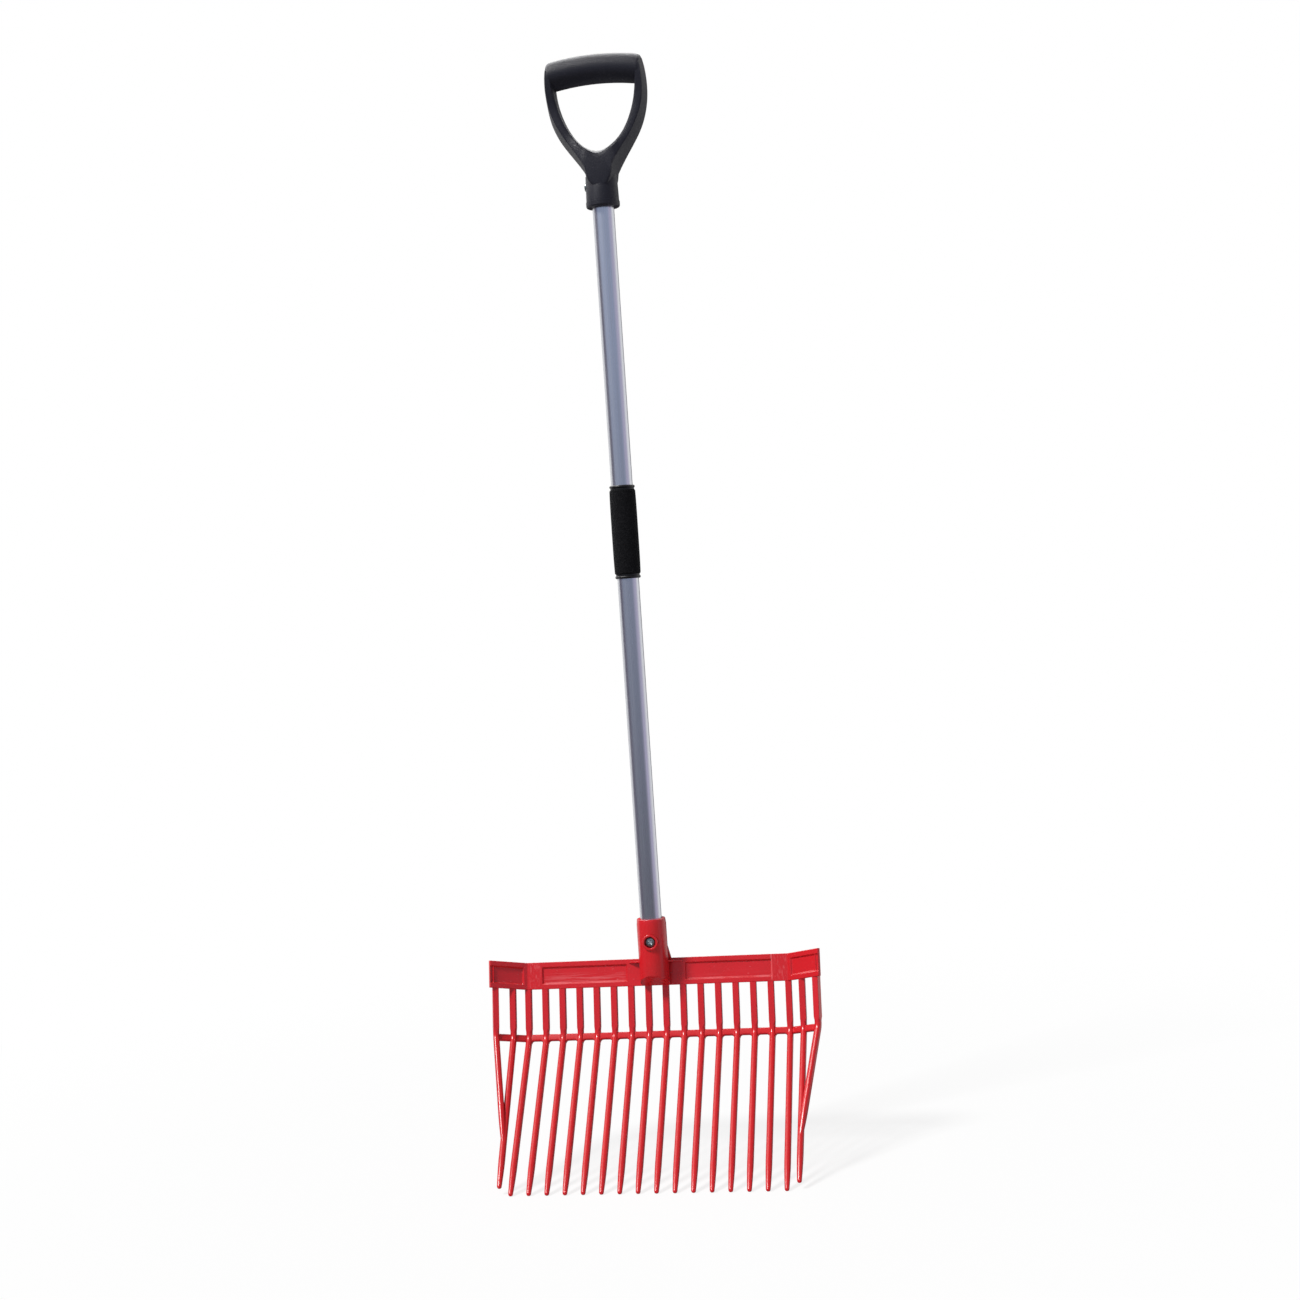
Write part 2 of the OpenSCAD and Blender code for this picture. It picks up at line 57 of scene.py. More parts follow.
import bmesh
import bpy
from bpy.props import FloatProperty, FloatVectorProperty, IntProperty, PointerProperty
from bpy.types import Operator, Panel, PropertyGroup
from mathutils import Matrix, Vector

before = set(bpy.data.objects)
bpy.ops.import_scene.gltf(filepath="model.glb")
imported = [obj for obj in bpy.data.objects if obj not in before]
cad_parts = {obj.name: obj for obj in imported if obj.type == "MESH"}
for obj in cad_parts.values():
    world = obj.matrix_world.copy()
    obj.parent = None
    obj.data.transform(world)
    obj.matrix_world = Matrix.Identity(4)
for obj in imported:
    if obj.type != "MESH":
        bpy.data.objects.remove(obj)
CAD_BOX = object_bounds()
BODY = "root"

HEAD_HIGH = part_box("fork_head")[1]
TUBE_LOW, TUBE_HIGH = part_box("shaft_tube")
HANDLE_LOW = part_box("d_handle")[0]
FOAM_LOW, FOAM_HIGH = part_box("foam_grip")
HEAD_SCREW_LOW, HEAD_SCREW_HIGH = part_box("head_screw")
HANDLE_SCREW_LOW, HANDLE_SCREW_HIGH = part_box("handle_screw")
HEAD_SCREW_Z = (HEAD_SCREW_LOW.z + HEAD_SCREW_HIGH.z) / 2
HANDLE_SCREW_Z = (HANDLE_SCREW_LOW.z + HANDLE_SCREW_HIGH.z) / 2

# Gaps round the tube in metres: in the socket and the ferrule, and under the sleeve and its rings
TUBE_PLAY, SLEEVE_PLAY = 0.00015, 0.0003

# Distances in metres within which points are merged, and edges are dissolved after a cut
TOUCHING, SLIVER = 1e-7, 1e-6

# Edges that turn by more than this are rounded
ROUNDED_ABOVE = radians(25)


# Sizes and colours


def length(name, description, default):
    """A size in metres."""
    return FloatProperty(name=name, description=description, default=default, min=0.0,
                         unit="LENGTH", precision=5)


def angle(name, description, default):
    """An angle, given in degrees."""
    return FloatProperty(name=name, description=description, default=radians(default),
                         subtype="ANGLE", unit="ROTATION")


def share(name, description, default):
    """A plain number, such as a strength or a part of a whole."""
    return FloatProperty(name=name, description=description, default=default, min=0.0)


def colour(name, description, default):
    """A colour in linear light."""
    return FloatVectorProperty(name=name, description=description, default=default, size=3,
                               subtype="COLOR", min=0.0, max=1.0)


class FORK_PG_head(PropertyGroup):
    """Sizes of the moulded head."""
    socket_h: length("Socket height", "Height of the socket above the plate's lower edge", 0.0805)
    socket_d: length("Socket diameter", "Outside diameter of the socket", 0.0345)
    socket_bore: length("Socket bore", "Diameter of the hole for the tube", 2 * TUBE_HIGH.x + 2 * TUBE_PLAY)
    tail_h: length("Tail height", "Height of the slanted lower front of the socket", 0.015)
    tail_round: length("Tail rounding", "Rounding of the edge of that slanted front", 0.008)
    blade_y: length("Plate set-back", "Set-back of the plate's lower edge behind the tube's axis", 0.007)
    blade_tilt: angle("Plate tilt", "Tilt of the plate and upper tines from the tube", 12.5)
    plate_h: length("Plate height", "Height of the plate", 0.0315)
    plate_t: length("Plate thickness", "Thickness of the plate", 0.0045)
    recess: length("Recess", "Depth of the plate's panels", 0.0022)
    draft: length("Draft", "Slope of a panel's walls, measured across", 0.0011)
    rim: length("Rim", "Width of the rim round a panel", 0.0058)
    fold_pad: length("Fold pad", "Width of the plain pad beside each fold", 0.0180)
    wing_l: length("Wing length", "Length of each folded wing", 0.0475)
    wing_fold: angle("Wing fold", "Angle at which the wings fold forward", 36.7)
    wing_rise: length("Wing rise", "Rise of a wing's outer end", 0.0036)
    wing_rim: length("Wing rim", "Rim beside a wing's panel", 0.0045)
    tines_main: IntProperty(name="Tines", description="Number of tines between the folds", default=16, min=2)
    pitch: length("Pitch", "Distance from tine to tine", 0.0206)
    tine_w: length("Tine width", "Width of a tine", 0.0072)
    tine_depth: length("Tine depth", "Depth of a tine from front to back", 0.0085)
    tine_set_back: length("Tine set-back", "Set-back of the tines behind the plate's front", 0.00036)
    root_rise: length("Root rise", "Height of a tine's root behind the plate", 0.0101)
    bend_drop: length("Bend drop", "Drop from the plate to the start of the bend", 0.051)
    bend_r: length("Bend radius", "Radius of the bend on its hollow side", 0.015)
    bend_angle: angle("Bend angle", "Angle of the bend", 32.8)
    prong_l: length("Prong length", "Straight length of a tine below the bend", 0.1984)
    taper_l: length("Taper length", "Length of the drawn-out end of a tine", 0.034)
    tip_d: length("Tip diameter", "Diameter of a tine's tip", 0.0052)
    cross_h: length("Crossbar height", "Height of the crossbar at the bend", 0.008)
    cross_t: length("Crossbar thickness", "Thickness of the crossbar", 0.0055)
    cross_back: length("Crossbar set-back", "Set-back of the crossbar behind the tines' front", 0.0016)
    web_r: length("Web radius", "Fillet between the crossbar and the tines below it", 0.003)
    boss_d: length("Boss diameter", "Diameter of the ring round the screw", 0.0184)
    boss_bore: length("Boss bore", "Diameter of the counterbore in that ring", 0.013)
    boss_rise: length("Boss rise", "Height of the ring in front of the socket", 0.0022)
    edge_round: length("Edge rounding", "Rounding of the moulding's edges", 0.0007)


class FORK_PG_handle(PropertyGroup):
    """Sizes of the D-handle."""
    half_w: length("Half width", "Half of the handle's width over its arms", 0.059)
    bar_d: length("Bar diameter", "Diameter of the hand bar", 0.0335)
    bar_rise: length("Bar rise", "Rise of the hand bar's middle over its ends", 0.0055)
    bar_round: length("Bar rounding", "Rounding of the hand bar's ends", 0.004)
    open_h: length("Opening height", "Height of the hand opening below the bar", 0.079)
    arm_depth: length("Arm depth", "Depth of the arms from front to back", 0.022)
    neck_h: length("Neck height", "Height of the neck between opening and ferrule", 0.0275)
    ferrule_d: length("Ferrule diameter", "Diameter of the ferrule at the neck", 0.0365)
    ferrule_end_d: length("Ferrule end diameter", "Diameter of the ferrule at its open end", 0.039)
    band_h: length("Band height", "Height of the raised band round the open end", 0.007)
    band_t: length("Band rise", "Height that the band stands proud", 0.0005)
    end_round: length("End rounding", "Rounding of the ferrule's open end", 0.0025)


class FORK_PG_grip(PropertyGroup):
    """Sizes of the foam grip, its rings, the tube and the screws."""
    tube_wall: length("Tube wall", "Wall of the tube", 0.0015)
    foam_round: length("Foam rounding", "Rounding of the foam sleeve's ends", 0.002)
    foam_swell: length("Foam swell", "Drawing-in of the sleeve's ends below its full diameter", 0.0004)
    bead_h: length("Bead height", "Height of an end ring's bead", 0.0035)
    groove_d: length("Groove diameter", "Diameter of the groove beside the bead", 0.0276)
    screw_d: length("Screw diameter", "Diameter of a screw's shank", 0.005)
    screw_head_d: length("Screw head", "Diameter of a screw's head", 0.0106)
    screw_head_h: length("Screw head height", "Height of a screw's head", 0.003)
    slot_l: length("Recess length", "Length of the cross recess", 0.0078)
    slot_w: length("Recess width", "Width of the cross recess", 0.0023)
    slot_depth: length("Recess depth", "Depth of the cross recess", 0.0017)


class FORK_PG_finish(PropertyGroup):
    """Colours of the finishes."""
    red: colour("Red", "Head plastic", (0.53, 0.0105, 0.0155))
    red_deep: colour("Deep red", "Clouds in the head plastic", (0.40, 0.008, 0.012))
    # Worn head plastic, which also serves as the colour of the painted highlight lines on the panels' walls
    scuff_and_highlight: colour("Scuff", "Rubbed head plastic", (0.64, 0.13, 0.145))
    black: colour("Black", "Handle plastic", (0.0095, 0.0095, 0.0165))
    black_speck: colour("Black speck", "Specks in the handle plastic", (0.034, 0.034, 0.042))
    foam: colour("Foam", "Grip foam", (0.0032, 0.0032, 0.0042))
    foam_lump: colour("Foam lump", "Lumps at the foam's skin", (0.0095, 0.0095, 0.011))
    rubber: colour("Rubber", "Grip rings", (0.0045, 0.0045, 0.0055))
    rubber_dust: colour("Rubber dust", "Dust on the grip rings", (0.014, 0.014, 0.016))
    aluminium: colour("Aluminium", "Drawn tube", (0.66, 0.67, 0.71))
    aluminium_line: colour("Aluminium line", "Fine lines along the tube", (0.52, 0.53, 0.57))
    zinc: colour("Zinc", "Screws", (0.40, 0.44, 0.42))
    zinc_dull: colour("Dull zinc", "Dulled patches of the screws", (0.17, 0.20, 0.19))
    # Painted highlight: the cross recess is coloured near white so that it shows as bright facets
    zinc_painted_highlight: colour("Bright zinc", "Cross recess of the screws", (0.96, 0.98, 0.97))
    floor: colour("Floor", "Floor of the stage", (0.85, 0.85, 0.85))


class FORK_PG_stage(PropertyGroup):
    """Camera, light and floor."""
    camera_at: FloatVectorProperty(name="Camera", description="Place of the camera",
                                   default=(0.402, -2.356, -0.582), subtype="TRANSLATION", unit="LENGTH")
    heading: angle("Heading", "Turn of the camera to the left", 9.21)
    pitch: angle("Pitch", "Tilt of the camera upwards", -1.75)
    roll: angle("Roll", "Roll of the camera about its view", -3.83)
    lens: FloatProperty(name="Lens", description="Focal length in millimetres", default=57.02)
    sensor: FloatProperty(name="Sensor", description="Width of the sensor in millimetres", default=36.0)
    key: share("Key", "Strength of the key light", 3.6)
    key_way: FloatVectorProperty(name="Key direction", description="Direction in which the key light falls",
                                 default=(0.47, 0.46, -0.75), subtype="DIRECTION")
    key_spread: angle("Key spread", "Angle that the key light spans", 12.0)
    ambient: share("Ambient", "Strength of the light from all round", 0.21)
    floor_half: length("Floor half", "Half of the floor's side", 12.0)


# Modelling helpers


def verts_in(geometry):
    """The vertices among what an operator made."""
    return [g for g in geometry if isinstance(g, bmesh.types.BMVert)]


def edges_in(geometry):
    """The edges among what an operator made."""
    return [g for g in geometry if isinstance(g, bmesh.types.BMEdge)]


def mesh_from(bm, name):
    """A new mesh with a shell's geometry."""
    mesh = bpy.data.meshes.new(name)
    bm.to_mesh(mesh)
    return mesh


def show(name, data):
    """A new object in the scene."""
    made = bpy.data.objects.new(name, data)
    bpy.context.scene.collection.objects.link(made)
    return made


def place(total, part, *matrices):
    """Adds a shell to another, moved by each matrix or as it is, and frees it."""
    for matrix in matrices or (Matrix.Identity(4),):
        mesh = mesh_from(part, "placed")
        mesh.transform(matrix)
        if matrix.determinant() < 0:
            mesh.flip_normals()
        total.from_mesh(mesh)
        bpy.data.meshes.remove(mesh)
    part.free()


def outward(bm):
    """Merges doubles and turns every face of a closed shell outwards."""
    bmesh.ops.remove_doubles(bm, verts=bm.verts, dist=TOUCHING)
    bmesh.ops.recalc_face_normals(bm, faces=bm.faces)


def rounded_edges(bm, width, segments):
    """Rounds every sharp edge."""
    edges = [e for e in bm.edges if e.is_manifold and e.calc_face_angle() > ROUNDED_ABOVE]
    bmesh.ops.bevel(bm, geom=edges, offset=width, offset_type="OFFSET", segments=segments, profile=0.5,
                    affect="EDGES", material=-1, clamp_overlap=True)


def section(bm, width, depth, radius, at):
    """A rectangle with round corners across a frame's Z axis, about its origin."""
    signs = ((-1, -1), (1, -1), (1, 1), (-1, 1))
    corners = [bm.verts.new((x * width / 2, y * depth / 2, 0)) for x, y in signs]
    bm.faces.new(corners)
    made = bmesh.ops.bevel(bm, geom=corners, offset=radius, offset_type="OFFSET", segments=4, profile=0.5,
                           affect="VERTICES", material=-1, clamp_overlap=True)
    face = made["verts"][0].link_faces[0]
    bmesh.ops.transform(bm, matrix=at, verts=face.verts)
    return face


def sweep(bm, face, stations):
    """Draws a face out from frame to frame, and returns it at the far end."""
    for start, end in zip(stations, stations[1:]):
        made = bmesh.ops.extrude_face_region(bm, geom=[face])["geom"]
        bmesh.ops.transform(bm, matrix=end @ start.inverted(), verts=verts_in(made))
        if start is not stations[0]:
            bmesh.ops.delete(bm, geom=[face], context="FACES_ONLY")
        face = next(g for g in made if isinstance(g, bmesh.types.BMFace))
    return face


def lathe(profile, steps, closed=True):
    """A shell spun about Z from a profile of (radius, height) points."""
    bm = bmesh.new()
    verts = [bm.verts.new((r, 0, z)) for r, z in profile]
    pairs = list(zip(verts, verts[1:]))
    if closed:
        pairs.append((verts[-1], verts[0]))
    for a, b in pairs:
        bm.edges.new((a, b))
    bmesh.ops.spin(bm, geom=bm.verts[:] + bm.edges[:], cent=(0, 0, 0), axis=(0, 0, 1), dvec=(0, 0, 0),
                   angle=2 * pi, steps=steps, use_merge=True, use_duplicate=False)
    outward(bm)
    return bm


def arc(centre, radius, start, end, steps):
    """Points of an arc, in degrees from the first axis."""
    turns = [radians(start + (end - start) * i / steps) for i in range(steps + 1)]
    return [(centre[0] + radius * cos(t), centre[1] + radius * sin(t)) for t in turns]


def slab(outline, thickness):
    """A flat plate from an outline in the XY plane, with its front at Z = 0."""
    bm = bmesh.new()
    face = bm.faces.new([bm.verts.new((x, y, 0)) for x, y in outline])
    made = bmesh.ops.extrude_face_region(bm, geom=[face])["geom"]
    bmesh.ops.translate(bm, vec=(0, 0, -thickness), verts=verts_in(made))
    outward(bm)
    return bm


def carve(bm, cutter):
    """Takes a closed cutter out of a closed shell, and frees the cutter."""
    body, tool = show("carved", mesh_from(bm, "carved")), show("cutter", mesh_from(cutter, "cutter"))
    cut = body.modifiers.new("cut", "BOOLEAN")
    cut.operation = "DIFFERENCE"
    cut.solver = "EXACT"
    cut.object = tool
    result = bpy.data.meshes.new_from_object(body.evaluated_get(bpy.context.evaluated_depsgraph_get()))
    bm.clear()
    bm.from_mesh(result)
    bmesh.ops.dissolve_degenerate(bm, dist=SLIVER, edges=bm.edges)
    for each in (body, tool):
        bpy.data.objects.remove(each)
    bpy.data.meshes.remove(result)
    cutter.free()


def piece(bm, name, material, node, sharp=38.0):
    """Makes a shell into a shown piece that rides on the body and stands for a node."""
    for face in bm.faces:
        face.smooth = True
    for edge in bm.edges:
        edge.smooth = not (edge.is_manifold and edge.calc_face_angle() > radians(sharp))
    mesh = mesh_from(bm, name)
    bm.free()
    mesh.materials.append(material)
    made = show(name, mesh)
    normals = made.modifiers.new("face_normals", "WEIGHTED_NORMAL")
    normals.keep_sharp = True
    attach(made, BODY)
    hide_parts(node)
    return made


# Finishes


class Signal:
    """A node's output, on which Python's operators add Math nodes."""

    def __init__(self, finish, socket):
        self.finish = finish
        self.socket = socket

    def _math(self, operation, first, second):
        return self.finish.node("Math", {"operation": operation}, {0: first, 1: second})

    def __add__(self, other):
        return self._math("ADD", self, other)

    __radd__ = __add__

    def __sub__(self, other):
        return self._math("SUBTRACT", self, other)

    def __rsub__(self, other):
        return self._math("SUBTRACT", other, self)

    def __mul__(self, other):
        return self._math("MULTIPLY", self, other)

    __rmul__ = __mul__


class Finish:
    """A node tree under construction, for a material or for the world."""

    def __init__(self, owner):
        owner.use_nodes = True
        self.tree = owner.node_tree
        self.tree.nodes.clear()

    def node(self, kind, settings=None, inputs=None, output=0):
        """Adds a node: first its settings, then the values or links of its sockets."""
        made = self.tree.nodes.new("ShaderNode" + kind)
        for key, value in (settings or {}).items():
            setattr(made, key, value)
        for key, value in (inputs or {}).items():
            if isinstance(value, Signal):
                self.tree.links.new(value.socket, made.inputs[key])
            else:
                made.inputs[key].default_value = value
        return Signal(self, made.outputs[output]) if made.outputs else None

    def position(self):
        """Object coordinates."""
        return self.node("TexCoord", output="Object")

    def stretched(self, where, scale):
        """Coordinates scaled differently along each axis."""
        return self.node("Mapping", inputs={"Vector": where, "Scale": scale})

    def axes(self, where, names):
        """The parts of a vector along the named axes."""
        return [self.node("SeparateXYZ", inputs={"Vector": where}, output=name) for name in names]

    def ray(self, kind):
        """1 for a kind of ray and 0 for the others."""
        return self.node("LightPath", output=f"Is {kind} Ray")

    def noise(self, where, scale=1.0, detail=2.0, roughness=0.5):
        """Soft noise from 0 to 1."""
        return self.node("TexNoise", inputs={"Vector": where, "Scale": scale, "Detail": detail,
                                             "Roughness": roughness})

    def cells(self, where, scale):
        """Distance from the middle of the nearest cell."""
        return self.node("TexVoronoi", inputs={"Vector": where, "Scale": scale})

    def between(self, value, low, high, to_low=0.0, to_high=1.0):
        """A value brought smoothly from one range to another."""
        return self.node("MapRange", {"interpolation_type": "SMOOTHSTEP"},
                         {"Value": value, "From Min": low, "From Max": high,
                          "To Min": to_low, "To Max": to_high})

    def within(self, value, start, full, fade, end):
        """A mask that rises from start to full and falls from fade to end."""
        return self.between(value, start, full) * self.between(value, fade, end, 1.0, 0.0)

    def mix(self, factor, first, second):
        """A blend of two colours, each a signal or three numbers."""
        first, second = (tone if isinstance(tone, Signal) else rgba(tone) for tone in (first, second))
        return self.node("Mix", {"data_type": "RGBA"}, {0: factor, 6: first, 7: second}, output=2)

    def bump(self, height, strength, distance):
        """A normal from a height."""
        return self.node("Bump", inputs={"Height": height, "Strength": strength, "Distance": distance})

    def surface(self, **sockets):
        """The shader, with its socket names in Python spelling."""
        named = {key.replace("_", " ").title().replace("Ior", "IOR"): value for key, value in sockets.items()}
        shader = self.node("BsdfPrincipled", inputs=named)
        self.node("OutputMaterial", inputs={"Surface": shader})


def rgba(tone):
    """A colour as four numbers."""
    return (*tone, 1.0)


def new_material(name):
    """A named material and the finish that fills it."""
    made = bpy.data.materials.new(name)
    return made, Finish(made)


def red_plastic(tones, head):
    """Glossy moulded plastic, worn on the pads beside the folds and hazed low in the left panel, with painted
    highlight lines along the panels' lower walls and down the right panel's outer end wall.
    """
    material, f = new_material("red_plastic")
    where = f.position()
    x, z = f.axes(where, "XZ")
    up = z - (HEAD_HIGH.z - head.socket_h)
    across = f.node("Math", {"operation": "ABSOLUTE"}, {0: x})
    left = f.between(x, -0.01, 0.01, 1.0, 0.12)
    fold, tall, rim = fold_at(head), head.plate_h, head.rim
    end, pad_w, inner = fold - head.fold_pad, head.fold_pad, head.socket_d
    on_plate = f.within(up, 0.0, 0.004, tall, tall + 0.004)
    pad = f.within(across, end, end + pad_w * 0.3, fold - pad_w * 0.2, fold)
    panel = f.within(across, inner, inner * 1.2, end - rim, end)
    lower_half = f.within(up, rim, rim * 1.6, tall * 0.35, tall * 0.6)
    # Painted highlights: a lighter band along each panel's lower wall, and another down the right panel's
    # outer end wall, where the light falls on them
    sill_highlight = f.within(up, rim * 0.85, rim * 0.97, rim * 1.12, rim * 1.25) * panel
    jamb_highlight = f.within(across, end - 0.0016, end - 0.0010, end, end + 0.0006) * (1.0 - left)
    clouds = f.noise(where, scale=28.0, detail=3.0)
    strokes = f.noise(f.stretched(where, (520.0, 520.0, 90.0)), detail=4.0, roughness=0.65)
    streaks = f.noise(f.stretched(where, (24.0, 260.0, 400.0)), detail=4.0, roughness=0.6)
    nicks = f.noise(f.stretched(where, (240.0, 240.0, 700.0)))
    ripple = f.noise(where, scale=160.0)
    # Real wear on the pads, the panel streaks and the nicks, together with the painted highlight lines on the
    # panel walls
    wear_and_highlights = on_plate * (pad * f.between(strokes, 0.48, 0.70, 0.0, 0.5)
                         + panel * lower_half * left * f.between(streaks, 0.42, 0.68, 0.0, 0.6)
                         + (sill_highlight + jamb_highlight) * f.between(clouds, 0.35, 0.6, 0.2, 0.6)
                         + f.between(nicks, 0.68, 0.76, 0.0, 0.5)) + f.between(nicks, 0.72, 0.80, 0.0, 0.25)
    tone = f.mix(f.between(clouds, 0.3, 0.7, 0.0, 0.25), tones.red, tones.red_deep)
    f.surface(
        base_color=f.mix(wear_and_highlights, tone, tones.scuff_and_highlight),
        roughness=f.between(clouds, 0.3, 0.7, 0.21, 0.28) + wear_and_highlights * 0.3,
        specular_ior_level=0.45,
        normal=f.bump(ripple + streaks * 0.4, strength=0.10, distance=0.0005),
    )
    return material


def black_plastic(tones):
    """Moulded plastic with a fine pebbled grain."""
    material, f = new_material("black_plastic")
    where = f.position()
    grain = f.cells(where, scale=1150.0)
    clouds = f.noise(where, scale=60.0, detail=3.0)
    specks = f.noise(where, scale=900.0, detail=1.0)
    f.surface(
        base_color=f.mix(f.between(specks, 0.55, 0.75, 0.0, 0.5), tones.black, tones.black_speck),
        roughness=f.between(specks, 0.3, 0.7, 0.52, 0.36) + clouds * 0.06,
        specular_ior_level=0.28,
        normal=f.bump(grain, strength=0.45, distance=0.0004),
    )
    return material


def grip_foam(tones):
    """Matt closed-cell foam with open pores at its skin."""
    material, f = new_material("grip_foam")
    where = f.position()
    pores = f.cells(where, scale=900.0)
    lumps = f.noise(where, scale=420.0, detail=3.0)
    f.surface(
        base_color=f.mix(f.between(lumps, 0.5, 0.75), tones.foam, tones.foam_lump),
        roughness=f.between(pores, 0.0, 0.8, 0.98, 0.85),
        specular_ior_level=0.14,
        normal=f.bump(pores + lumps * 0.8, strength=0.8, distance=0.0008),
    )
    return material


def ring_rubber(tones):
    """Smooth black rubber with a little dust."""
    material, f = new_material("ring_rubber")
    dust = f.noise(f.position(), scale=500.0, detail=3.0)
    f.surface(
        base_color=f.mix(f.between(dust, 0.5, 0.8, 0.0, 0.4), tones.rubber, tones.rubber_dust),
        roughness=f.between(dust, 0.3, 0.7, 0.34, 0.46),
        specular_ior_level=0.35,
        normal=f.bump(dust, strength=0.08, distance=0.0003),
    )
    return material


def drawn_aluminium(tones):
    """Satin tube with fine lines along its length."""
    material, f = new_material("drawn_aluminium")
    where = f.position()
    lines = f.noise(f.stretched(where, (1400.0, 1400.0, 6.0)), detail=3.0, roughness=0.6)
    clouds = f.noise(f.stretched(where, (60.0, 60.0, 9.0)))
    f.surface(
        base_color=f.mix(f.between(lines, 0.3, 0.7, 0.0, 0.35), tones.aluminium, tones.aluminium_line),
        metallic=1.0,
        roughness=f.between(lines, 0.3, 0.7, 0.22, 0.32) + clouds * 0.06,
        normal=f.bump(lines, strength=0.05, distance=0.0002),
    )
    return material


def zinc_steel(tones):
    """Zinc-plated steel, dulled in patches, with a painted highlight on the cross recess."""
    material, f = new_material("zinc_steel")
    patches = f.noise(f.position(), scale=700.0, detail=3.0)
    # Mask of the cross recess, which gets the painted highlight
    recess = f.node("Attribute", {"attribute_name": "recess"}, output="Fac")
    plated = f.mix(f.between(patches, 0.4, 0.65), tones.zinc, tones.zinc_dull)
    f.surface(
        base_color=f.mix(recess, plated, tones.zinc_painted_highlight),
        metallic=1.0,
        roughness=f.between(patches, 0.3, 0.7, 0.26, 0.5),
        normal=f.bump(patches, strength=0.1, distance=0.0002),
    )
    return material


# The moulded head


def blade_frame(head):
    """Frame of the plate: X across, Y up it, Z out of its front, from its lower front edge."""
    low = Matrix.Translation((0, head.blade_y, HEAD_HIGH.z - head.socket_h))
    return low @ Matrix.Rotation(pi / 2 - head.blade_tilt, 4, "X")


def fold_at(head):
    """Distance of a fold from the middle."""
    return (head.tines_main - 1) / 2 * head.pitch


def at_bend(head, turn):
    """Frame at an angle round the bend, on the tines' front."""
    return (Matrix.Translation((0, -head.bend_drop, head.bend_r - head.tine_set_back))
            @ Matrix.Rotation(-turn, 4, "X") @ Matrix.Translation((0, 0, -head.bend_r)))


def head_plate(head):
    """Plate and wings as one bent strip with recessed panels."""
    fold = fold_at(head)
    inner, outer = head.socket_d, fold - head.fold_pad
    half = [inner, outer, fold, fold + head.wing_rim, fold + head.wing_l - head.wing_rim, fold + head.wing_l]
    bm = bmesh.new()
    verts = []
    for s in [-s for s in reversed(half)] + half:
        out = max(abs(s) - fold, 0.0)
        side = 1 if s > 0 else -1
        x = side * (min(abs(s), fold) + out * cos(head.wing_fold))
        verts.append(bm.verts.new((x, out * head.wing_rise / head.wing_l, out * sin(head.wing_fold))))
    edges = [bm.edges.new(pair) for pair in zip(verts, verts[1:])]
    for step in (head.rim, head.plate_h - 2 * head.rim, head.rim):
        made = bmesh.ops.extrude_edge_only(bm, edges=edges)["geom"]
        edges = edges_in(made)
        bmesh.ops.translate(bm, vec=(0, step, 0), verts=verts_in(made))
    bmesh.ops.recalc_face_normals(bm, faces=bm.faces)
    bm.faces.ensure_lookup_table()
    if bm.faces[0].normal.z < 0:
        bmesh.ops.reverse_faces(bm, faces=bm.faces)
    panels = []
    for face in bm.faces:
        at = face.calc_center_median()
        in_row = abs(at.y - head.plate_h / 2) < head.plate_h / 4
        if in_row and (inner < abs(at.x) < outer or abs(at.z) > head.rim):
            panels.append(face)
    bmesh.ops.solidify(bm, geom=bm.faces[:], thickness=head.plate_t)
    bmesh.ops.inset_individual(bm, faces=panels, thickness=head.draft, depth=-head.recess,
                               use_even_offset=True)
    bmesh.ops.recalc_face_normals(bm, faces=bm.faces)
    rounded_edges(bm, head.edge_round, segments=3)
    return bm


def spread(x, y):
    """A scale across a frame."""
    return Matrix.Diagonal((x, y, 1.0, 1.0))


def along(z):
    """A move along a frame's Z axis."""
    return Matrix.Translation((0, 0, z))


def flat_station(head, y, front, back):
    """Frame across the flat upper length of a tine, scaled between its front and its back."""
    return (Matrix.Translation((0, y, (front + back) / 2)) @ Matrix.Rotation(pi / 2, 4, "X")
            @ spread(1.0, (front - back) / head.tine_depth))


